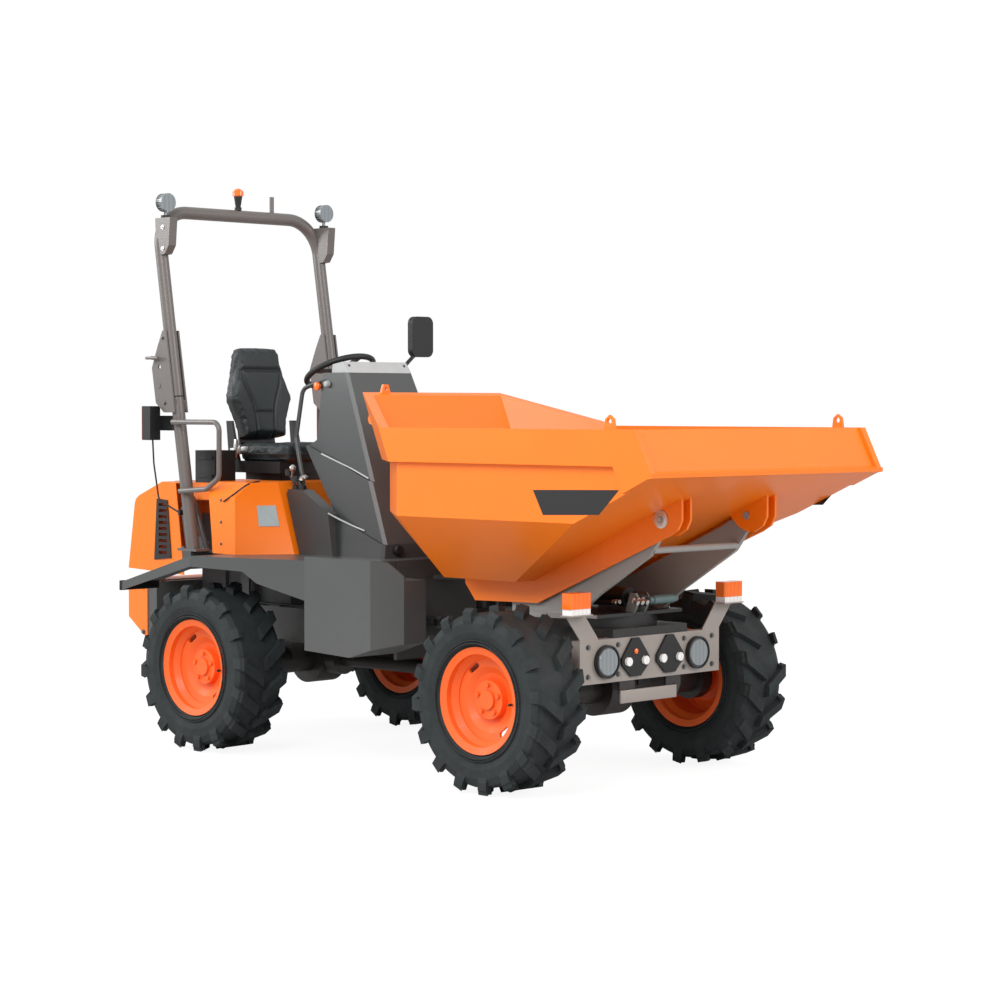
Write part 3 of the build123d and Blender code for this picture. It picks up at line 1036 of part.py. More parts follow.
# side outline of the bonnet, from the front edge's foot around to the rear edge's foot
bonnet_outline = [(-1405, 760), (-1465, 1196), (-1568, 1200), (-1750, 1130), (-1776, 1112),
                  (-1786, 1090), (-1838, 775)]
bonnet_space = [(-1390, 700), (-1463 + 20, 1196 - BONNET_T), (-1567, 1200 - BONNET_T),
                (-1748, 1130 - BONNET_T), (-1772, 1110 - BONNET_T), (-1786 + BONNET_T, 1089),
                (-1838 + BONNET_T, 776), (-1838 + BONNET_T, 700)]
# side grille: window in the bonnet's wall, and its slats
GRILLE_T = 5.0
grille_outline = [(-1606, 1118), (-1524, 1112), (-1497, 836), (-1628, 824)]
GRILLE_SLATS = 9
VENT_X0 = -1690.0
VENT_X1 = -1578.0
VENT_HALF = 330.0


def vent_z(x):
    """Height of the bonnet's sloping top."""
    return 1200 + (x + 1568) * (1200 - 1130) / (1750 - 1568)


with BuildPart() as bonnet:
    slab_xz(bonnet_outline, -BONNET_HALF, BONNET_HALF)
    slab_xz(bonnet_space, -BONNET_HALF + BONNET_T, BONNET_HALF - BONNET_T, mode=Mode.SUBTRACT)
    mid_x = sum(x for x, z in grille_outline) / 4
    mid_z = sum(z for x, z in grille_outline) / 4
    window = [(mid_x + (x - mid_x) * 0.84, mid_z + (z - mid_z) * 0.9) for x, z in grille_outline]
    slab_xz(window, -BONNET_HALF - 1, BONNET_HALF + 1, mode=Mode.SUBTRACT)
    for side in (-1, 1):
        ear = sorted((side * (HINGE_Y + HINGE_T + 2), side * (HINGE_Y + HINGE_T + 14)))
        slab_xz([(-1836, 776), (-1824, 860), (BONNET_PIN_X + 16, BONNET_PIN_Z + 6),
                 (BONNET_PIN_X + 8, BONNET_PIN_Z - 14), (BONNET_PIN_X - 12, BONNET_PIN_Z - 12)],
                ear[0], ear[1])
        disc_y(BONNET_PIN_X, ear[0], ear[1], BONNET_PIN_Z, 17)
        disc_y(BONNET_PIN_X, ear[0] - 1, ear[1] + 1, BONNET_PIN_Z, BONNET_PIN_R + RUN_GAP,
               mode=Mode.SUBTRACT)

with BuildPart() as bonnet_grilles:
    for side in (-1, 1):
        faces = sorted((side * BONNET_HALF, side * (BONNET_HALF + GRILLE_T)))
        slab_xz(grille_outline, faces[0], faces[1])
        for slat in range(GRILLE_SLATS):
            z = 860 + slat * (1090 - 860) / (GRILLE_SLATS - 1)
            block(-1590, -1527, faces[0] - 1, faces[1] + 1, z - 7, z + 7, mode=Mode.SUBTRACT)
    slab_xz([(VENT_X0, vent_z(VENT_X0)), (VENT_X1, vent_z(VENT_X1)), (VENT_X1, vent_z(VENT_X1) + GRILLE_T),
             (VENT_X0, vent_z(VENT_X0) + GRILLE_T)], -VENT_HALF, VENT_HALF)
    for slot in range(7):
        y = (slot - 3) * 88
        block(VENT_X0 + 14, VENT_X1 - 14, y - 32, y + 32, 1100, 1230, mode=Mode.SUBTRACT)

RAIL_R = 12.0
with BuildPart() as grab_rails:
    for side in (-1, 1):
        y = side * (HOOP_Y + TUBE_R + RAIL_R + SEAT_GAP)
        tube_path([(post_x(1486), y, 1486), (-988, y, 1486), (-990, y, 1231), (-1080, y, 1178),
                   (post_x(1163), y, 1163)], 42, RAIL_R)

LAMP_Z = 1480.0
LAMP_X0 = -1512.0
LAMP_X1 = -1450.0
LAMP_Y = 545.0
LEAD_R = 4.0
lamp_back = post_x(LAMP_Z + 35) - TUBE_R * 1.015 - SEAT_GAP
with BuildPart() as tail_lamps:
    for side in (-1, 1):
        y = side * LAMP_Y
        block(LAMP_X0, LAMP_X1, y - 30, y + 30, LAMP_Z - 80, LAMP_Z + 80)
        block(LAMP_X0 - 8, LAMP_X0, y - 26, y + 26, LAMP_Z - 76, LAMP_Z + 76)
        block(LAMP_X1 - 10, lamp_back, side * HOOP_Y - 8, side * HOOP_Y + 8, LAMP_Z - 35, LAMP_Z + 35)
        block(LAMP_X1 - 10, LAMP_X1, min(side * HOOP_Y, y), max(side * HOOP_Y, y), LAMP_Z - 35, LAMP_Z + 35)
        tube_path([(-1470, y, LAMP_Z - 78), (-1462, y, 1290), (-1430, y - side * 4, 1120),
                   (post_x(1075) - TUBE_R - 6, side * (HOOP_Y + 26), 1060)], 40, LEAD_R)
        clip = sorted((side * (HOOP_Y - 15), side * (HOOP_Y + 32)))
        block(post_x(1075) - TUBE_R - 14, post_x(1075) - TUBE_R * 1.015 - SEAT_GAP, clip[0], clip[1],
              1050, 1074)

MIRROR_Y = 345.0
with BuildPart() as mirror_unit:
    with BuildSketch(Plane.YZ.offset(-590)) as shell:
        with Locations((MIRROR_Y, 1885)):
            RectangleRounded(134, 190, 34)
    extrude(shell.sketch, amount=32)
    block(-575, -535, COWL_HALF + SEAT_GAP, COWL_HALF + 14, 1718, 1742)
    rod((-555, COWL_HALF + 12, 1732), (-574, MIRROR_Y - 20, 1815), 9)

nodes = {
    "rear_frame": rear_frame.part, "rear_axle": rear_axle.part, "engine_block": engine_block.part,
    "counterweight": counterweight.part, "air_cleaner": air_cleaner.part,
    "control_levers": control_levers.part,
    "guards": guards.part, "tanks": tanks.part, "seat_plinth": seat_plinth.part,
    "seat_base": seat_base.part, "seat_cushion": seat_cushion.part, "seat_back": seat_back.part,
    "console": console.part, "dash_cowl": dash_cowl.part, "steering_wheel": steering_wheel.part,
    "lower_posts": lower_posts.part, "grab_rails": grab_rails.part, "tail_lamps": tail_lamps.part,
    "mirror_unit": mirror_unit.part,
    "hoop": hoop.part, "work_lamps": work_lamps.part, "beacon": beacon.part,
    "bonnet": bonnet.part, "bonnet_grilles": bonnet_grilles.part,
    "front_frame": front_frame.part, "front_axle": front_axle.part, "lamp_bar": lamp_bar.part,
    "headlamps": headlamps.part, "indicators": indicators.part,
    "trailer_sockets": trailer_sockets.part,
    "swivel_frame": swivel_frame.part,
    "skip_body": skip_body.part, "skip_rails": skip_rails.part,
    "tip_barrel": tip_barrel.part, "tip_sleeve": tip_sleeve.part, "tip_rod": tip_rod.part,
    "steer_barrel": steer_barrel.part, "steer_rod": steer_rod.part,
    "front_right_tyre": front_right_tyre.part, "front_right_rim": front_right_rim.part,
    "front_left_tyre": front_left_tyre, "front_left_rim": front_left_rim,
    "rear_right_tyre": rear_right_tyre, "rear_right_rim": rear_right_rim,
    "rear_left_tyre": rear_left_tyre, "rear_left_rim": rear_left_rim,
}
# the exported frame's origin lies this far behind the point midway between the axles,
# at the middle of the whole length
ORIGIN_BACK = (-WEIGHT_X - (LIP_X + LIP_BAR)) / 2
for name, solid in nodes.items():
    solid.label = name
    solid = Pos(ORIGIN_BACK, 0, 0) * solid
    export_step(solid, f"parts/{name}.step")
    box = solid.bounding_box()
    print(f"{name:18s} solids={len(solid.solids())} vol={solid.volume / 1e6:8.2f} l "
          f"x {box.min.X:7.0f} {box.max.X:7.0f}  y {box.min.Y:6.0f} {box.max.Y:6.0f}  "
          f"z {box.min.Z:6.0f} {box.max.Z:6.0f}")
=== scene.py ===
"""Looks for the site dumper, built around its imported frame."""
import math
import random

import bmesh
import bpy
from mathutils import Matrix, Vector


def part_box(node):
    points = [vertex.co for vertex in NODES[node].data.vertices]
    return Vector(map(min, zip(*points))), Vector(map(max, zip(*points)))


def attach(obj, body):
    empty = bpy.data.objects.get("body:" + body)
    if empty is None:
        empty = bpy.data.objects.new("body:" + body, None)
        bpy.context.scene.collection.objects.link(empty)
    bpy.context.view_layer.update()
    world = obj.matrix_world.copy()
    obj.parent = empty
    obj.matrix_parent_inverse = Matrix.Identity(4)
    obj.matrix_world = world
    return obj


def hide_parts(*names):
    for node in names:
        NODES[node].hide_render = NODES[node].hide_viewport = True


bl_info = {
    "name": "Site Dumper Looks",
    "version": (1, 0, 0),
    "blender": (4, 5, 0),
    "location": "View3D > Sidebar > Dumper",
    "description": "Dresses the site dumper's frame with finishes, padding, ribs and fittings",
    "category": "Object",
}

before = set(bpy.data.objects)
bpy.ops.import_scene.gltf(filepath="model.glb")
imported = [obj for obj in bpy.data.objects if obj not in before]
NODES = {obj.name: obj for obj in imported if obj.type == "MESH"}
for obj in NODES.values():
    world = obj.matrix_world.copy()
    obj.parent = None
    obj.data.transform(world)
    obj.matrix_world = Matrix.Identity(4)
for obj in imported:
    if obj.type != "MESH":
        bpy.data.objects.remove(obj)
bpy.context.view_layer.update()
SKIP_SIDE = 0.6972      # outer face of the skip's sides, from the middle
SKIP_FOLD_Z = 1.327     # height of the fold round the skip
ARM_SIDE = 0.276        # outer face of the arms
TANK_SIDE = 0.6
FLOOR_Z = 0.885         # top of the rear chassis
PLINTH_RISE = 0.325     # the seat box stands this high on it
BAR_X = 1.182           # front of the lamp bar
WHEELS = ("front_right", "front_left", "rear_right", "rear_left")
MID = sum(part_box(wheel + "_rim")[end].x for wheel in WHEELS for end in (0, 1)) / 8
AXLE_Z = sum(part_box("front_left_rim")[end].z for end in (0, 1)) / 2


def spot(x, y, z):
    """A place measured from the ground midway between the axles."""
    return Vector((MID + x, y, z))


def linear(*rgb):
    """Linear colour from the 0-255 values a paint chart gives."""
    return tuple(
        (c / 255 / 12.92) if c / 255 <= 0.04045 else ((c / 255 + 0.055) / 1.055) ** 2.4
        for c in rgb
    )


# ---------------------------------------------------------------- shader tools
class Wire:
    """A node's output, or a number, that can be used in Python arithmetic."""

    def __init__(self, finish, socket):
        self.finish = finish
        self.socket = socket

    def maths(self, operation, *others):
        return self.finish.node("ShaderNodeMath", {"operation": operation}, (self, *others))

    def __add__(self, other):
        return self.maths("ADD", other)

    __radd__ = __add__

    def __sub__(self, other):
        return self.maths("SUBTRACT", other)

    def __rsub__(self, other):
        return self.finish.node("ShaderNodeMath", {"operation": "SUBTRACT"}, (other, self))

    def __mul__(self, other):
        return self.maths("MULTIPLY", other)

    __rmul__ = __mul__

    def __truediv__(self, other):
        return self.maths("DIVIDE", other)

    def at_most(self, other):
        return self.maths("MINIMUM", other)

    def sine(self):
        return self.maths("SINE")


class Finish:
    """One material, written as expressions on wires."""

    def __init__(self, name, colour, roughness=0.5, metallic=0.0, **constants):
        self.material = bpy.data.materials.new(name)
        self.material.use_nodes = True
        self.tree = self.material.node_tree
        self.shader = self.tree.nodes["Principled BSDF"]
        self.shader.inputs["Base Color"].default_value = (*colour, 1.0)
        self.shader.inputs["Roughness"].default_value = roughness
        self.shader.inputs["Metallic"].default_value = metallic
        for socket, value in constants.items():
            self.shader.inputs[socket.replace("_", " ")].default_value = value

    def node(self, kind, settings=None, values=(), out=0):
        """Adds a node; values are wires or numbers for its inputs, by place or by name."""
        made = self.tree.nodes.new(kind)
        for key, value in (settings or {}).items():
            if key == "stops":
                ramp = made.color_ramp
                while len(ramp.elements) < len(value):
                    ramp.elements.new(0.5)
                for element, (place, shade) in zip(ramp.elements, value):
                    element.position = place
                    element.color = (shade, shade, shade, 1) if isinstance(shade, float) else (*shade, 1)
            else:
                setattr(made, key, value)
        pairs = values.items() if isinstance(values, dict) else enumerate(values)
        for key, value in pairs:
            if isinstance(value, Wire):
                self.tree.links.new(value.socket, made.inputs[key])
            else:
                made.inputs[key].default_value = value
        return Wire(self, made.outputs[out])

    def place(self):
        """Position on the piece, in its own metres."""
        return self.node("ShaderNodeTexCoord", out="Object")

    def noise(self, scale, detail=2.0, rough=0.5):
        return self.node(
            "ShaderNodeTexNoise",
            {},
            {"Vector": self.place(), "Scale": scale, "Detail": detail, "Roughness": rough},
        )

    def grain(self, scale):
        return self.node("ShaderNodeTexVoronoi", {"feature": "F1"}, {"Vector": self.place(), "Scale": scale})

    def ramp(self, factor, stops):
        return self.node("ShaderNodeValToRGB", {"stops": stops}, (factor,))

    def axis(self, index, where=None):
        return self.node("ShaderNodeSeparateXYZ", {}, (where or self.place(),), out=index)

    def blend(self, factor, one, two):
        """Mixes two colours."""
        made = self.tree.nodes.new("ShaderNodeMix")
        made.data_type = "RGBA"
        for socket, value in ((0, factor), (6, one), (7, two)):
            if isinstance(value, Wire):
                self.tree.links.new(value.socket, made.inputs[socket])
            elif socket == 0:
                made.inputs[0].default_value = value
            else:
                made.inputs[socket].default_value = (*value[:3], 1.0)
        return Wire(self, made.outputs[2])

    def feed(self, socket, wire):
        self.tree.links.new(wire.socket, self.shader.inputs[socket])

    def bump(self, height, strength=0.2, distance=0.001):
        normal = self.node(
            "ShaderNodeBump", {}, {"Strength": strength, "Distance": distance, "Height": height}
        )
        self.feed("Normal", normal)


FINISHES = {}
DUST = linear(150, 140, 125)
TONE = 0.06         # share by which sprayed paint goes lighter
DUST_TOP = 0.9      # metres above the ground at which road dust ends
LENS_RIBS = 260.0   # turns of the rib wave a metre, in radians


def scaled(colour, share):
    return tuple(c * share for c in colour)


def make_paint(name, colour, roughness, coat):
    """Sprayed paint: slow changes of tone, faint orange peel and a little road dust low down."""
    finish = Finish(name, colour, roughness, Coat_Weight=coat, Coat_Roughness=0.12, IOR=1.5)
    slow = finish.noise(2.2, 3.0)
    fine = finish.noise(38.0, 4.0, 0.6)
    dark = scaled(colour, 1 - TONE * 2)
    tone = finish.blend(slow * 0.8 + fine * 0.2, dark, tuple(min(1, c * (1 + TONE)) for c in colour))
    height = finish.axis(2, finish.node("ShaderNodeNewGeometry", out="Position"))
    dust = (1 - (height / DUST_TOP).at_most(1.0)) * fine * 0.16
    finish.feed("Base Color", finish.blend(dust, tone, DUST))
    finish.feed("Roughness", roughness + dust * 1.6 + (slow - 0.5) * 0.08)
    finish.bump(finish.noise(420.0, 1.0), 0.05, 0.0006)
    return finish


def make_plastic(name, colour, roughness=0.5, grain=900.0):
    """Moulded plastic with a fine pebbled skin."""
    finish = Finish(name, colour, roughness)
    slow = finish.noise(6.0, 2.0)
    finish.feed("Base Color", finish.blend(slow, scaled(colour, 0.75), scaled(colour, 1.25)))
    finish.feed("Roughness", roughness + (slow - 0.5) * 0.12)
    finish.bump(finish.grain(grain), 0.18, 0.0005)
    return finish


def make_rubber(name, colour, roughness=0.72):
    """Tyre rubber: dull, a little mottled, greyer where it has been handled."""
    finish = Finish(name, colour, roughness, Specular_IOR_Level=0.35)
    patches = finish.noise(9.0, 4.0, 0.6)
    fine = finish.noise(140.0, 3.0, 0.6)
    worn = finish.ramp(patches * 0.7 + fine * 0.3, [(0.38, 0.0), (0.66, 1.0)])
    finish.feed("Base Color", finish.blend(worn * 0.55, colour, tuple(c * 2.1 + 0.004 for c in colour)))
    finish.feed("Roughness", roughness - worn * 0.1)
    finish.bump(fine, 0.25, 0.0006)
    return finish


def make_metal(name, colour, roughness=0.25, brush=60.0):
    """Bare metal with faint machining lines."""
    finish = Finish(name, colour, roughness, 1.0)
    lines = finish.noise(brush, 3.0)
    finish.feed("Roughness", roughness + (lines - 0.5) * 0.18)
    finish.bump(finish.noise(brush * 6, 2.0), 0.06, 0.0004)
    return finish


def make_vinyl(name, colour):
    """Seat cover: fine leather grain, soft sheen, painted shade in the low folds and a painted highlight on
    the raised ones.
    """
    finish = Finish(name, colour, 0.46)
    cells = finish.grain(520.0)
    creases = finish.noise(24.0, 4.0, 0.6)
    # colour follows the crease relief: darker in the low folds (painted shade), lighter on the raised folds
    # (painted highlight)
    finish.feed("Base Color", finish.blend(creases, scaled(colour, 0.7), scaled(colour, 1.5)))
    finish.feed("Roughness", 0.4 + creases * 0.16)
    finish.bump(cells * 0.6 + creases * 0.6, 0.35, 0.0012)
    return finish


def make_lens(name, colour):
    """Moulded lamp lens with fine ribs behind a glossy face; the rib crests carry a painted highlight."""
    finish = Finish(name, colour, 0.12, Coat_Weight=0.6, IOR=1.49)
    wave = (finish.axis(1) * LENS_RIBS).sine() * 0.5 + 0.5
    # rib crests painted lighter than the troughs: painted highlight standing in for light caught by the ribs
    lit = tuple(min(1, c * 1.35 + 0.02) for c in colour)
    finish.feed("Base Color", finish.blend(wave * 0.5, colour, lit))
    finish.bump(wave, 0.2, 0.001)
    return finish


def make_iron(name, colour):
    """Painted casting: coarse sand-cast skin."""
    finish = Finish(name, colour, 0.5)
    sand = finish.noise(160.0, 5.0, 0.7)
    slow = finish.noise(7.0, 3.0)
    finish.feed("Base Color", finish.blend(slow, scaled(colour, 0.6), scaled(colour, 1.4)))
    finish.feed("Roughness", 0.42 + sand * 0.25)
    finish.bump(sand, 0.4, 0.001)
    return finish


def make_finishes(sizes):
    """Every finish of the machine, by name."""
    orange = tuple(sizes.body_colour)
    FINISHES.update(
        orange=make_paint("skip orange paint", orange, 0.42, coat=0.15),
        rim=make_paint("rim orange paint", tuple(sizes.rim_colour), 0.45, coat=0.1),
        grey=make_paint("chassis grey paint", tuple(sizes.chassis_colour), 0.42, coat=0.15),
        hoop=make_paint("hoop warm grey paint", linear(104, 98, 95), 0.38, coat=0.2),
        beige=make_paint("lamp bar paint", linear(158, 150, 144), 0.42, coat=0.15),
        black=make_paint("black paint", linear(26, 26, 27), 0.4, coat=0.15),
        plastic=make_plastic("black moulding", linear(24, 25, 26)),
        pale=make_plastic("grey moulding", linear(176, 178, 178), 0.45),
        rubber=make_rubber("tyre rubber", linear(30, 36, 37)),
        hose=make_plastic("hose rubber", linear(20, 20, 21), 0.55, 500.0),
        vinyl=make_vinyl("seat vinyl", linear(24, 32, 34)),
        chrome=make_metal("cylinder chrome", (0.78, 0.79, 0.8), 0.12),
        zinc=make_metal("zinc plate", (0.62, 0.62, 0.6), 0.32),
        iron=make_iron("engine casting", linear(70, 72, 74)),
        amber=make_lens("amber lens", linear(255, 110, 10)),
        clear=make_lens("clear lens", linear(122, 130, 134)),
        arms=make_paint("arm grey paint", linear(150, 150, 147), 0.4, coat=0.15),
        shield=make_paint("leg shield grey", linear(46, 49, 50), 0.4, coat=0.15),
        red=make_lens("red lens", linear(190, 20, 18)),
        white=make_lens("white lens", linear(235, 235, 232)),
        label=make_plastic("bare plate", linear(158, 172, 175), 0.4),
        steel=make_metal("dull nuts", (0.2, 0.2, 0.2), 0.4),
        teal=make_paint("valve block paint", linear(88, 112, 112), 0.4, coat=0.15),
        mirror=Finish("mirror glass", (0.85, 0.87, 0.88), 0.03, 1.0),
    )


# ---------------------------------------------------------------- mesh tools
def dress(piece, finish):
    piece.data.materials.clear()
    piece.data.materials.append(FINISHES[finish].material)


def second_finish(node, finish, chosen):
    """Gives the faces of a node that a test picks, by centre and normal, another finish."""
    data = NODES[node].data
    data.materials.append(FINISHES[finish].material)
    place = len(data.materials) - 1
    for face in data.polygons:
        if chosen(face.center - Vector((MID, 0, 0)), face.normal):
            face.material_index = place


class Shape:
    """A mesh that grows form by form and becomes one piece."""

    def __init__(self):
        self.mesh = bmesh.new()

    def prism(self, corners, run, bevel=0.0):
        near = [self.mesh.verts.new(c) for c in corners]
        far = [self.mesh.verts.new(Vector(c) + Vector(run)) for c in corners]
        faces = [self.mesh.faces.new(near), self.mesh.faces.new(far[::-1])]
        for k in range(len(near)):
            faces.append(self.mesh.faces.new((near[k - 1], near[k], far[k], far[k - 1])))
        if bevel:
            edges = list({edge for face in faces for edge in face.edges})
            bmesh.ops.bevel(self.mesh, geom=edges, offset=bevel, segments=2, affect="EDGES", profile=0.5)
        return self

    def block(self, low, high, bevel=0.0):
        (x0, y0, z0), (x1, y1, z1) = low, high
        corners = [Vector(c) for c in ((x0, y0, z0), (x1, y0, z0), (x1, y1, z0), (x0, y1, z0))]
        return self.prism(corners, (0, 0, z1 - z0), bevel)

    def turned(self, profile, foot, axis, steps=32, closed=False):
        """A form turned about an axis; the profile is radius and distance along it."""
        axis = Vector(axis).normalized()
        side = axis.orthogonal().normalized()
        across = axis.cross(side)
        rings = []
        for radius, along in profile:
            centre = Vector(foot) + axis * along
            if radius < 1e-6:
                rings.append([self.mesh.verts.new(centre)])
                continue
            turns = [2 * math.pi * k / steps for k in range(steps)]
            rings.append([
                self.mesh.verts.new(centre + (side * math.cos(t) + across * math.sin(t)) * radius)
                for t in turns
            ])
        pairs = list(zip(rings, rings[1:]))
        if closed:
            pairs.append((rings[-1], rings[0]))
        for one, two in pairs:
            for k in range(steps):
                loop = [one[k % len(one)], one[(k + 1) % len(one)],
                        two[(k + 1) % len(two)], two[k % len(two)]]
                loop = [v for n, v in enumerate(loop) if v not in loop[:n]]
                if len(loop) > 2:
                    self.mesh.faces.new(loop)
        return self

    def bolt(self, at, out, across):
        """Hexagon head with a chamfered top, on a washer."""
        out = Vector(out).normalized()
        washer, thick = across * 0.78, across * 0.12
        self.turned([(0, 0), (washer, 0), (washer, thick), (0, thick)], at, out, 20)
        side = out.orthogonal().normalized()
        across_out = out.cross(side)
        for reach, low, high in ((0.577, 0.12, 0.5), (0.5, 0.5, 0.58)):
            corners = []
            for k in range(6):
                t = math.pi / 3 * k
                corner = (side * math.cos(t) + across_out * math.sin(t)) * across * reach
                corners.append(Vector(at) + out * across * low + corner)
            self.prism(corners, out * across * (high - low))
        return self

    def piece(self, name, body, finish, smooth=0.55):
        bmesh.ops.recalc_face_normals(self.mesh, faces=self.mesh.faces)
        data = bpy.data.meshes.new(name)
        self.mesh.to_mesh(data)
        self.mesh.free()
        made = bpy.data.objects.new(name, data)
        bpy.context.scene.collection.objects.link(made)
        data.shade_smooth()
        data.set_sharp_from_angle(angle=smooth)
        dress(made, finish)
        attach(made, body)


def pipe(name, body, finish, points, radius, order=3, widths=None, rounds=4):
    """A round hose, rail or bead along a line, straight between its points at order 2."""
    data = bpy.data.curves.new(name, "CURVE")
    data.dimensions = "3D"
    data.bevel_depth = radius
    data.bevel_resolution = rounds
    data.resolution_u = 8
    data.use_fill_caps = True
    spline = data.splines.new("NURBS" if order > 2 else "POLY")
    spline.points.add(len(points) - 1)
    for k, point in enumerate(points):
        spline.points[k].co = (*point, 1)
        spline.points[k].radius = widths[k] if widths else 1.0
    if order > 2:
        spline.order_u = order
        spline.use_endpoint_u = True
    line = bpy.data.objects.new(name + "_line", data)
    bpy.context.scene.collection.objects.link(line)
    graph = bpy.context.evaluated_depsgraph_get()
    mesh = bpy.data.meshes.new_from_object(line.evaluated_get(graph))
    bpy.data.objects.remove(line)
    bpy.data.curves.remove(data)
    made = bpy.data.objects.new(name, mesh)
    bpy.context.scene.collection.objects.link(made)
    mesh.shade_smooth()
    dress(made, finish)
    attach(made, body)


RIPPLE = 0.006      # from one ripple of a weld bead to the next


def weld(name, body, finish, start, end, radius=0.004, seed=1):
    """A weld bead: a rippled ridge from one place to another."""
    start, end = Vector(start), Vector(end)
    rng = random.Random(seed)
    count = max(3, int((end - start).length / RIPPLE))
    points = [start.lerp(end, k / count) for k in range(count + 1)]
    widths = [(1.0 if k % 2 else 0.72) * rng.uniform(0.9, 1.1) for k in range(count + 1)]
    pipe(name, body, finish, points, radius, 2, widths, 1)


# ---------------------------------------------------------------- settings
class DumperPaint(bpy.types.PropertyGroup):
    """Colours a user would change."""

    body_colour: bpy.props.FloatVectorProperty(
        name="Body", description="Skip, cover and seat box paint", subtype="COLOR",
        size=3, min=0, max=1, default=linear(252, 122, 0),
    )
    rim_colour: bpy.props.FloatVectorProperty(
        name="Rims", description="Wheel rim paint", subtype="COLOR",
        size=3, min=0, max=1, default=linear(250, 100, 10),
    )
    chassis_colour: bpy.props.FloatVectorProperty(
        name="Chassis", description="Chassis and tank paint", subtype="COLOR",
        size=3, min=0, max=1, default=linear(74, 77, 77),
    )


NODE_FINISH = {
    "skip_body": "orange", "bonnet": "orange", "seat_plinth": "orange",
    "counterweight": "orange", "skip_rails": "orange",
    "rear_frame": "grey", "guards": "grey", "tanks": "grey", "console": "shield",
    "front_frame": "black", "swivel_frame": "arms",
    "rear_axle": "black", "front_axle": "black", "engine_block": "iron",
    "lower_posts": "hoop", "hoop": "hoop", "grab_rails": "hoop", "lamp_bar": "beige",
    "seat_base": "black", "seat_cushion": "vinyl", "seat_back": "vinyl",
    "dash_cowl": "pale", "control_levers": "plastic", "air_cleaner": "plastic",
    "steering_wheel": "plastic", "bonnet_grilles": "hose",
    "trailer_sockets": "plastic", "mirror_unit": "plastic", "work_lamps": "plastic",
    "tail_lamps": "plastic", "headlamps": "clear", "indicators": "amber", "beacon": "amber",
    "tip_barrel": "black", "tip_sleeve": "chrome", "tip_rod": "chrome",
    "steer_barrel": "black", "steer_rod": "chrome",
}


class DUMPER_OT_finishes(bpy.types.Operator):
    """Gives every part of the frame its paint, plastic, rubber or metal"""

    bl_idname = "dumper.finishes"
    bl_label = "Paint the Frame"

    def execute(self, context):
        make_finishes(context.scene.dumper_paint)
        for node, finish in NODE_FINISH.items():
            dress(NODES[node], finish)
        for wheel in WHEELS:
            dress(NODES[wheel + "_tyre"], "rubber")
            dress(NODES[wheel + "_rim"], "rim")
        second_finish("swivel_frame", "black", lambda at, normal: at.z < 0.72 and abs(at.y) < 0.252)
        second_finish("tail_lamps", "red", lambda at, normal: at.x < -1.511 and at.z > 1.35)
        second_finish("tail_lamps", "hose", lambda at, normal: at.z < 1.402)
        second_finish("indicators", "white", lambda at, normal: at.z < 0.752)
        second_finish("trailer_sockets", "white", lambda at, normal: at.x > 1.195)
        second_finish(
            "headlamps", "plastic", lambda at, normal: math.hypot(abs(at.y) - 0.282, at.z - 0.524) > 0.0605
        )
        second_finish("work_lamps", "clear", lambda at, normal: at.x > -1.43 and at.z > 2.46)
        second_finish("beacon", "plastic", lambda at, normal: at.z < 2.578)
        second_finish("steering_wheel", "black", lambda at, normal: at.z < 1.68 and abs(at.y) < 0.05)
        second_finish("counterweight", "grey", lambda at, normal: at.z > 0.722)
        # forward-facing console faces get the lighter chassis grey and the rest keep the darker shield grey:
        # painted light on the front faces, painted shade on the sides
        second_finish("console", "grey", lambda at, normal: normal.x > 0.5)
        return {"FINISHED"}


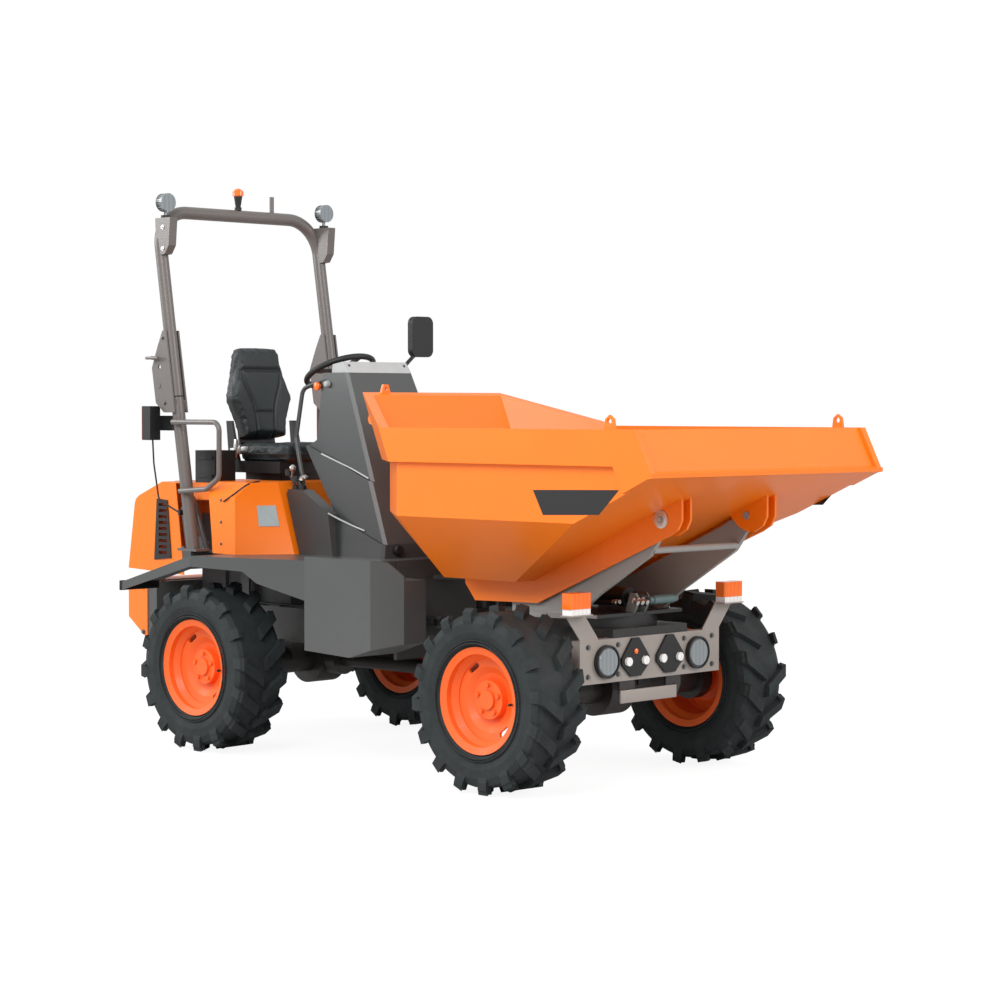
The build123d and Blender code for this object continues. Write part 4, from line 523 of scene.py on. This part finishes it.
class DUMPER_OT_stage(bpy.types.Operator):
    """Lays the floor and sets the lamps and the camera"""

    bl_idname = "dumper.stage"
    bl_label = "Set the Stage"

    def execute(self, context):
        scene = context.scene
        scene.view_settings.view_transform = "Standard"
        floor_mesh = bmesh.new()
        bmesh.ops.create_grid(floor_mesh, x_segments=1, y_segments=1, size=60)
        data = bpy.data.meshes.new("floor")
        floor_mesh.to_mesh(data)
        floor_mesh.free()
        floor = bpy.data.objects.new("floor", data)
        scene.collection.objects.link(floor)
        pale = Finish("pale floor", linear(196, 196, 196), 0.9)
        seen = pale.node("ShaderNodeLightPath", out="Is Camera Ray")
        glow = pale.node("ShaderNodeEmission", {}, {"Color": (1, 1, 1, 1), "Strength": 1.25})
        shade = pale.node(
            "ShaderNodeMixShader", {}, (seen * 0.72, Wire(pale, pale.shader.outputs[0]), glow)
        )
        output = pale.tree.nodes["Material Output"]
        pale.tree.links.new(shade.socket, output.inputs["Surface"])
        data.materials.append(pale.material)
        world = bpy.data.worlds.new("studio")
        scene.world = world
        world.use_nodes = True
        tree = world.node_tree
        back = tree.nodes["Background"]
        back.inputs["Color"].default_value = (1, 1, 1, 1)
        path = tree.nodes.new("ShaderNodeLightPath")
        direct = tree.nodes.new("ShaderNodeMath")
        direct.operation = "MAXIMUM"
        strength = tree.nodes.new("ShaderNodeMapRange")
        strength.inputs["To Min"].default_value = 0.75
        strength.inputs["To Max"].default_value = 1.0
        tree.links.new(path.outputs["Is Camera Ray"], direct.inputs[0])
        tree.links.new(path.outputs["Is Transmission Ray"], direct.inputs[1])
        tree.links.new(direct.outputs[0], strength.inputs["Value"])
        tree.links.new(strength.outputs[0], back.inputs["Strength"])
        # lamp: name, place, size, watts
        lamps = (
            ("key", (3.0, -7.0, 6.5), 4.5, 520),
            ("side", (-6.5, -4.5, 4.5), 4.0, 300),
            ("front", (8.0, 3.0, 4.5), 4.0, 260),
        )
        middle = Vector((0, 0, 1.0))
        for name, at, size, watts in lamps:
            light = bpy.data.lights.new(name, "AREA")
            light.shape = "SQUARE"
            light.size = size
            light.energy = watts
            lamp = bpy.data.objects.new(name, light)
            lamp.location = at
            lamp.rotation_mode = "QUATERNION"
            lamp.rotation_quaternion = (middle - Vector(at)).to_track_quat("-Z", "Y")
            scene.collection.objects.link(lamp)
        lens = bpy.data.cameras.new("camera")
        lens.sensor_width = 36.0
        lens.lens = 90.47
        camera = bpy.data.objects.new("camera", lens)
        camera.location = (MID + 8.061, -7.788, 1.561)
        yaw, pitch = 0.7872, 0.0376
        look = Vector((-math.cos(pitch) * math.cos(yaw), math.cos(pitch) * math.sin(yaw), -math.sin(pitch)))
        camera.rotation_mode = "QUATERNION"
        camera.rotation_quaternion = look.to_track_quat("-Z", "Y")
        scene.collection.objects.link(camera)
        scene.camera = camera
        return {"FINISHED"}


SEAM = 0.009            # half the width of a seam's groove
PANEL_HALF = 0.115      # half the width of the cushion's middle panel
BACK_SEAM_Z = 1.735     # top seam of the back's middle panel


def seat_groove(distance, width, depth):
    """How far a seam pulls the cover in, at a distance from it."""
    return depth * math.exp(-((distance / width) ** 2))


def swell(node, name, body, inset, cap, seams):
    """Pads a closed solid with a short cloth simulation, then sews its seams in."""
    scene = bpy.context.scene
    piece = bpy.data.objects.new(name, NODES[node].data.copy())
    scene.collection.objects.link(piece)
    even = piece.modifiers.new("even", "REMESH")
    even.mode = "VOXEL"
    even.voxel_size = 0.0055
    graph = bpy.context.evaluated_depsgraph_get()
    piece.data = bpy.data.meshes.new_from_object(piece.evaluated_get(graph))
    piece.modifiers.clear()
    rest = [v.co - v.normal * inset for v in piece.data.vertices]
    for vertex, place in zip(piece.data.vertices, rest):
        vertex.co = place
    cloth = piece.modifiers.new("cover", "CLOTH")
    cloth.settings.use_pressure = True
    cloth.settings.uniform_pressure_force = 4.0
    cloth.settings.effector_weights.gravity = 0.0
    cloth.settings.quality = 5
    for step in range(1, 21):
        scene.frame_set(step)
    graph = bpy.context.evaluated_depsgraph_get()
    swollen = bpy.data.meshes.new_from_object(piece.evaluated_get(graph))
    for vertex, place, puffed in zip(piece.data.vertices, rest, swollen.vertices):
        move = puffed.co - place
        if move.length > cap:
            move *= cap / move.length
        vertex.co = place + move
    piece.modifiers.clear()
    scene.frame_set(1)
    low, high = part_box(node)
    normals = [v.normal.copy() for v in piece.data.vertices]
    for vertex, normal in zip(piece.data.vertices, normals):
        vertex.co -= normal * seams(vertex.co - Vector((MID, 0, 0)), normal)
        for k in range(3):
            vertex.co[k] = min(max(vertex.co[k], low[k] - 0.006), high[k] + 0.006)
    finer = piece.modifiers.new("finer", "SUBSURF")
    finer.levels = finer.render_levels = 1
    piece.data.shade_smooth()
    dress(piece, "vinyl")
    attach(piece, body)
    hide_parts(node)


class DUMPER_OT_seat(bpy.types.Operator):
    """Pads the seat cushion and the seat back, with sewn bolsters"""

    bl_idname = "dumper.seat"
    bl_label = "Pad the Seat"

    def execute(self, context):
        def cushion_seams(at, normal):
            if normal.z < 0.2:
                return 0.0
            sides = seat_groove(abs(at.y) - PANEL_HALF, SEAM, 0.011)
            roll = seat_groove(at.x + 1.045, SEAM, 0.009) if abs(at.y) < PANEL_HALF else 0.0
            return max(sides, roll) + 0.006 * math.exp(-((at.y / 0.09) ** 2)) * (at.x < -1.05)

        def back_seams(at, normal):
            if normal.x < 0.2:
                return 0.0
            rise = at.z - 1.62
            half = 0.088 + 0.035 * math.tanh(rise / 0.08)
            upright = seat_groove(abs(at.y) - half, SEAM, 0.012) if at.z < BACK_SEAM_Z else 0.0
            over = seat_groove(at.z - BACK_SEAM_Z, SEAM, 0.011) if abs(at.y) < half else 0.0
            lumbar = seat_groove(at.z - 1.53, SEAM, 0.008) if abs(at.y) < half else 0.0
            return max(upright, over, lumbar)

        swell("seat_cushion", "seat_cushion_cover", "rear_chassis", 0.008, 0.012, cushion_seams)
        swell("seat_back", "seat_back_cover", "rear_chassis", 0.008, 0.012, back_seams)
        for side in (-1, 1):
            pipe(f"seat_piping_{side + 1}", "rear_chassis", "plastic", [
                spot(-1.30, side * 0.186, 1.335), spot(-1.1, side * 0.189, 1.335),
                spot(-0.96, side * 0.186, 1.335),
                spot(-0.921, side * 0.14, 1.335), spot(-0.915, 0, 1.335)], 0.003)
        handle = Shape()
        handle.prism([spot(-1.30, -0.206, 1.36), spot(-1.18, -0.206, 1.37), spot(-1.175, -0.206, 1.345),
                      spot(-1.30, -0.206, 1.315)], (0, -0.012, 0), 0.003)
        handle.prism([spot(-1.262, -0.218, 1.31), spot(-1.236, -0.218, 1.31), spot(-1.228, -0.218, 1.40),
                      spot(-1.25, -0.218, 1.405)], (0, -0.016, 0), 0.004)
        handle.piece("seat_recliner", "rear_chassis", "zinc")
        bellows = Shape()
        for k in range(5):
            z = 1.213 + k * 0.0062
            bellows.block(spot(-1.27, -0.147, z), spot(-1.01, 0.147, z + 0.0042), 0.0015)
        bellows.piece("seat_bellows", "rear_chassis", "hose")
        return {"FINISHED"}


# rings moulded on each sidewall: radius, distance from the tyre's middle, thickness
SIDEWALL_RIBS = ((0.232, 0.1335, 0.0035), (0.243, 0.1295, 0.003), (0.268, 0.1285, 0.0022))


class DUMPER_OT_tyres(bpy.types.Operator):
    """Moulds the ribs of the four tyres and fits their valves"""

    bl_idname = "dumper.tyres"
    bl_label = "Mould the Tyres"

    def execute(self, context):
        for wheel in WHEELS:
            low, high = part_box(wheel + "_tyre")
            centre = (low + high) / 2
            outward = 1 if centre.y > 0 else -1
            ribs = Shape()
            for face in (-1, 1):
                for radius, place, thick in SIDEWALL_RIBS:
                    foot = Vector((centre.x, centre.y, AXLE_Z))
                    ring = []
                    for k in range(7):
                        t = math.pi * 2 * k / 7
                        ring.append((radius + thick * math.cos(t), place * 0.965 + thick * math.sin(t)))
                    ribs.turned(ring, foot, (0, face, 0), 96, closed=True)
            ribs.piece(wheel + "_tyre_ribs", wheel + "_wheel", "rubber")
            valve = Shape()
            at = Vector((centre.x + 0.186, centre.y + outward * 0.09, AXLE_Z))
            valve.turned([(0, 0), (0.0045, 0), (0.0045, 0.02), (0.0055, 0.021), (0.0055, 0.034), (0, 0.036)],
                         at, (0, outward, 0), 14)
            valve.piece(wheel + "_valve", wheel + "_wheel", "plastic")
        return {"FINISHED"}


RING_BOLTS = 20     # round the turntable
RING_X = 0.815
RING_R = 0.287


class DUMPER_OT_fasteners(bpy.types.Operator):
    """Adds bolt heads and pin keepers to the chassis, the arms and the panels"""

    bl_idname = "dumper.fasteners"
    bl_label = "Fit the Fasteners"

    def execute(self, context):
        front = Shape()
        for y in (-0.205, 0.205, -0.385, 0.385):
            for z in (0.468, 0.588):
                front.bolt(spot(BAR_X, y, z), (1, 0, 0), 0.015)
        for k in range(RING_BOLTS):
            t = 2 * math.pi * (k + 0.5) / RING_BOLTS
            front.bolt(
                spot(RING_X + RING_R * math.cos(t), RING_R * math.sin(t), 0.685), (0, 0, 1), 0.006
            )
        for side in (-1, 1):
            for x in (0.75, 0.83, 1.0, 1.08):
                front.bolt(spot(x, side * 0.230, 0.478), (0, side, 0), 0.018)
        front.piece("front_bolts", "front_chassis", "steel")
        arms = Shape()
        for side in (-1, 1):
            arms.bolt(spot(1.36, side * 0.2755, 0.99), (0, side, 0), 0.016)
        arms.piece("arm_bolts", "swivel", "zinc")
        skip = Shape()
        for side in (-1, 1):
            foot = spot(1.495, side * 0.297, 1.112)
            skip.turned([(0, 0), (0.036, 0), (0.036, 0.004), (0.024, 0.005), (0.022, 0.007), (0, 0.007)],
                        foot, (0, side, 0), 36)
            skip.bolt(foot + Vector((0, side * 0.006, 0)), (0, side, 0), 0.014)
        skip.piece("tip_pin_caps", "skip", "zinc")
        rear = Shape()
        for side in (-1, 1):
            for z in (0.93, 1.03, 1.13):
                rear.bolt(spot(-0.955, side * 0.550, z), (0, side, 0), 0.009)
            for x in (-1.275, -1.195):
                for y in (0.462, 0.518):
                    rear.bolt(spot(x, side * y, 0.897), (0, 0, 1), 0.013)
            for z in (0.47, 0.69):
                rear.bolt(spot(-1.72, side * 0.415, z), (0, side, 0), 0.016)
            for x, z in ((-1.395, 1.575), (-1.41, 1.88)):
                rear.bolt(spot(x, side * 0.531, z), (0, side, 0), 0.014)
        for y in (-0.17, 0.17):
            rear.bolt(spot(-0.50, y, 1.745), (0.6, 0, 0.8), 0.008)
        rear.piece("rear_bolts", "rear_chassis", "steel")
        top = Shape()
        for side in (-1, 1):
            for z in (2.30, 2.40):
                top.bolt(spot(-1.425, side * 0.514, z), (0, side, 0), 0.013)
        top.piece("hoop_bolts", "hoop_top", "zinc")
        return {"FINISHED"}


class DUMPER_OT_welds(bpy.types.Operator):
    """Runs weld beads along the skip's folds, the arms and the tank seams"""

    bl_idname = "dumper.welds"
    bl_label = "Run the Welds"

    def execute(self, context):
        for side in (-1, 1):
            weld(f"skip_weld_side_{side + 1}", "skip", "orange", spot(0.42, side * 0.6975, SKIP_FOLD_Z),
                 spot(1.60, side * 0.6975, SKIP_FOLD_Z), 0.0035, 3)
            weld(f"skip_weld_corner_{side + 1}", "skip", "orange", spot(0.024, side * 0.401, SKIP_FOLD_Z),
                 spot(0.388, side * 0.698, SKIP_FOLD_Z), 0.0035, 5)
            weld(f"rail_weld_{side + 1}", "skip", "orange", spot(0.40, side * 0.298, 0.834),
                 spot(0.79, side * 0.298, 0.834), 0.004, 7)
            weld(f"arm_weld_{side + 1}", "swivel", "arms", spot(0.66, side * ARM_SIDE, 0.708),
                 spot(1.04, side * ARM_SIDE, 0.708), 0.004, 9)
            weld(f"tank_weld_{side + 1}", "rear_chassis", "grey", spot(-0.291, side * TANK_SIDE, 0.5),
                 spot(-0.291, side * TANK_SIDE, 0.87), 0.0035, 11)
        weld("skip_weld_rear", "skip", "orange", spot(0.022, -0.4, SKIP_FOLD_Z),
             spot(0.022, 0.4, SKIP_FOLD_Z), 0.0035, 13)
        weld("bulkhead_weld", "rear_chassis", "grey", spot(0.002, -0.115, 0.817), spot(0.002, 0.115, 0.817),
             0.004, 17)
        return {"FINISHED"}


class DUMPER_OT_hydraulics(bpy.types.Operator):
    """Routes the hoses and their fittings under the skip and behind the seat"""

    bl_idname = "dumper.hydraulics"
    bl_label = "Route the Hoses"

    def execute(self, context):
        ends = Shape()
        for k, y in enumerate((-0.09, 0.09)):
            line = [spot(0.62, y * 1.6, 0.712), spot(0.72, y * 1.6, 0.722), spot(0.84, y * 1.5, 0.742),
                    spot(0.97, y * 1.25, 0.742), spot(1.06, y * 1.05, 0.748)]
            pipe(f"tip_hose_{k}", "swivel", "hose", line, 0.009)
            ends.turned([(0, 0), (0.012, 0), (0.012, 0.02), (0.009, 0.024), (0.009, 0.036), (0, 0.036)],
                        spot(1.055, y * 1.05, 0.748), (1, 0, 0.1), 18)
            ends.turned([(0, 0), (0.013, 0), (0.013, 0.018), (0.009, 0.02), (0, 0.02)],
                        spot(0.61, y * 1.6, 0.707), (1, 0, 0.2), 18)
        for y in (-0.075, -0.045, -0.015):
            ends.turned([(0, 0), (0.011, 0), (0.011, 0.008), (0.007, 0.009), (0.007, 0.022), (0.010, 0.023),
                         (0.010, 0.034), (0, 0.035)], spot(1.143, y, 0.762), (0.93, 0, -0.37), 18)
        ends.piece("tip_fittings", "swivel", "zinc")
        valve = Shape()
        valve.turned([(0, 0), (0.012, 0), (0.014, 0.004), (0.014, 0.02), (0.019, 0.022), (0.019, 0.15),
                      (0.015, 0.154), (0.015, 0.17), (0, 0.171)], spot(1.158, 0.01, 0.757), (0, 1, 0), 28)
        valve.piece("swivel_valve", "swivel", "teal")
        pipe("filler_hose", "rear_chassis", "grey", [
            spot(-1.335, -0.415, 1.125), spot(-1.30, -0.43, 1.10), spot(-1.262, -0.435, 1.02),
            spot(-1.24, -0.43, 0.95),
            spot(-1.225, -0.42, 0.893)], 0.014)
        pipe("lift_hose", "rear_chassis", "hose", [
            spot(-1.20, 0.34, 1.118), spot(-1.23, 0.36, 1.05), spot(-1.25, 0.37, 0.97),
            spot(-1.24, 0.36, 0.89)], 0.010)
        pipe("brake_pipe", "rear_chassis", "hose", [
            spot(-0.02, -0.183, 0.64), spot(-0.3, -0.1875, 0.636), spot(-0.9, -0.1875, 0.632),
            spot(-1.4, -0.1875, 0.632)], 0.0035)
        return {"FINISHED"}


# corners of the skip's dark stripe: x, z
STRIPE = ((1.231, 1.134), (1.176, 1.231), (1.632, 1.241), (1.529, 1.143))


def plinth_slope(across, z):
    """A place on the plinth's right front face: across it from the side edge, at a height."""
    rise = (z - FLOOR_Z) / PLINTH_RISE
    front = -0.680 - 0.115 * rise
    return spot(-0.855 + across * (front + 0.855), -0.55 + across * 0.205, z)


class DUMPER_OT_trim(bpy.types.Operator):
    """Adds the side stripes, bare plates, mirror glass, switches, screens and rubber tips"""

    bl_idname = "dumper.trim"
    bl_label = "Fit the Trim"

    def execute(self, context):
        for side in (-1, 1):
            stripe = Shape()
            stripe.prism([spot(x, side * SKIP_SIDE, z) for x, z in STRIPE],
                         (0, side * 0.0008, 0))
            stripe.piece(f"skip_stripe_{side + 1}", "skip", "black")
            tip = Shape()
            tip.prism([spot(-1.43, side * 0.54, 0.704), spot(-1.43, side * 0.765, 0.704),
                       spot(-1.43, side * 0.765, 0.75), spot(-1.43, side * 0.54, 0.75)],
                      (-0.012, 0, 0), 0.003)
            tip.piece(f"guard_tip_{side + 1}", "rear_chassis", "hose")
            screen = Shape()
            for k in range(26):
                z = 0.845 + k * 0.0105
                shift = (z - 0.83) / (1.118 - 0.83)
                x0, x1 = -1.622 + shift * 0.022, -1.503 - shift * 0.018
                screen.block(spot(x0, side * 0.407 - 0.0015, z), spot(x1, side * 0.407 + 0.0015, z + 0.0032))
            screen.piece(f"bonnet_screen_{side + 1}", "bonnet", "black")
        plate = Shape()
        low, high, proud = 1.012, 1.106, Vector((0.0010, -0.0006, 0.0003))
        plate.prism([plinth_slope(0.45, low) + proud, plinth_slope(0.84, low) + proud,
                     plinth_slope(0.84, high) + proud, plinth_slope(0.45, high) + proud], proud)
        plate.piece("bare_plate", "rear_chassis", "label")
        pipe("plinth_cable", "rear_chassis", "hose", [
            spot(-0.93, -0.555, 1.125), spot(-0.89, -0.556, 1.143), spot(-0.856, -0.527, 1.176),
            spot(-0.835, -0.475, 1.214), spot(-0.85, -0.41, 1.215)], 0.0035)
        # pale beads along the leg shield's folds: painted highlights where light catches the fold edges
        for name, line in (
            ("low", [(-0.474, -0.322, 1.078), (-0.40, -0.288, 1.037), (-0.276, -0.279, 1.004)]),
            ("high", [(-0.60, -0.25, 1.343), (-0.50, -0.247, 1.31), (-0.381, -0.244, 1.273),
                      (-0.284, -0.247, 1.236)]),
        ):
            pipe(f"shield_fold_{name}", "rear_chassis", "pale", [spot(*at) for at in line], 0.004)
        levers = Shape()
        for x, y, z, reach in (
            (-0.745, -0.30, 1.245, 0.05), (-0.70, -0.285, 1.205, 0.035), (-0.72, -0.25, 1.215, 0.03),
        ):
            levers.turned([(0, -0.01), (0.006, -0.01), (0.006, reach * 0.5), (0.013, reach * 0.62),
                           (0.015, reach * 0.85), (0.009, reach * 1.05), (0, reach * 1.08)],
                          spot(x, y, z), (0.45, -0.35, 0.8), 20)
        levers.piece("pod_levers", "rear_chassis", "zinc")
        lights = Shape()
        lights.turned([(0, 0), (0.011, 0), (0.011, 0.004), (0.007, 0.007), (0, 0.008)],
                      spot(1.194, -0.109, 0.556), (1, 0, 0), 24)
        lights.piece("socket_lamp", "front_chassis", "amber")
        bar = Shape()
        bar.block(spot(1.177, -0.19, 0.345), spot(1.186, 0.155, 0.398), 0.002)
        bar.piece("tow_plate", "front_chassis", "beige")
        glass = Shape()
        low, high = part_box("mirror_unit")
        centre = Vector((low.x, 0.345, 1.885))
        corners = []
        for cx, cy, start in ((0.045, 0.073, 0), (-0.045, 0.073, 1), (-0.045, -0.073, 2), (0.045, -0.073, 3)):
            for k in range(6):
                t = math.pi / 2 * (start + k / 5)
                corners.append(centre + Vector((0, cx + 0.015 * math.cos(t), cy + 0.015 * math.sin(t))))
        glass.prism(corners, (-0.0012, 0, 0))
        glass.piece("mirror_glass", "rear_chassis", "mirror")
        knob = Shape()
        knob.turned([(0, 0), (0.016, 0), (0.017, 0.006), (0.013, 0.018), (0.008, 0.022), (0, 0.023)],
                    spot(-0.60, -0.208, 1.66), (0, -1, 0), 24)
        knob.piece("dash_knob", "rear_chassis", "pale")
        switch = Shape()
        switch.turned([(0, 0), (0.017, 0), (0.019, 0.004), (0.019, 0.015), (0.012, 0.02), (0, 0.021)],
                      spot(-0.665, -0.21, 1.65), (0, -1, 0), 24)
        switch.piece("dash_switch", "rear_chassis", "amber")
        buffers = Shape()
        for side in (-1, 1):
            buffers.turned([(0, 0), (0.028, 0), (0.028, 0.012), (0.02, 0.02), (0, 0.021)],
                           spot(-0.137, side * 0.21, 0.922), (1, 0, 0), 28)
        buffers.piece("shield_buffers", "rear_chassis", "hose")
        caps = Shape()
        caps.turned([(0, 0), (0.04, 0), (0.042, 0.006), (0.042, 0.024), (0.036, 0.03), (0, 0.031)],
                    spot(-0.21, 0.53, 0.885), (0, 0, 1), 36)
        caps.piece("filler_cap", "rear_chassis", "plastic")
        pedals = Shape()
        for y in (-0.14, 0.10, 0.16):
            pedals.prism([spot(-0.36, y - 0.032, 0.99), spot(-0.36, y + 0.032, 0.99),
                          spot(-0.385, y + 0.032, 1.07),
                          spot(-0.385, y - 0.032, 1.07)], (-0.006, 0, -0.002), 0.002)
            pedals.block(spot(-0.372, y - 0.006, 0.887), spot(-0.36, y + 0.006, 1.03), 0.001)
        pedals.piece("pedals", "rear_chassis", "plastic")
        return {"FINISHED"}


PIECES = (
    DUMPER_OT_finishes, DUMPER_OT_seat, DUMPER_OT_tyres, DUMPER_OT_fasteners, DUMPER_OT_welds,
    DUMPER_OT_hydraulics, DUMPER_OT_trim, DUMPER_OT_stage,
)


class DUMPER_PT_pieces(bpy.types.Panel):
    """Lists the machine's colours and pieces"""

    bl_idname = "DUMPER_PT_pieces"
    bl_label = "Site Dumper"
    bl_space_type = "VIEW_3D"
    bl_region_type = "UI"
    bl_category = "Dumper"

    def draw(self, context):
        paint = context.scene.dumper_paint
        for name in ("body_colour", "rim_colour", "chassis_colour"):
            self.layout.prop(paint, name)
        for piece in PIECES:
            self.layout.operator(piece.bl_idname)


CLASSES = (DumperPaint, *PIECES, DUMPER_PT_pieces)


def register():
    for item in CLASSES:
        bpy.utils.register_class(item)
    bpy.types.Scene.dumper_paint = bpy.props.PointerProperty(type=DumperPaint)


def unregister():
    del bpy.types.Scene.dumper_paint
    for item in reversed(CLASSES):
        bpy.utils.unregister_class(item)


def main():
    register()
    for piece in PIECES:
        group, action = piece.bl_idname.split(".")
        getattr(getattr(bpy.ops, group), action)()


if __name__ == "__main__":
    main()
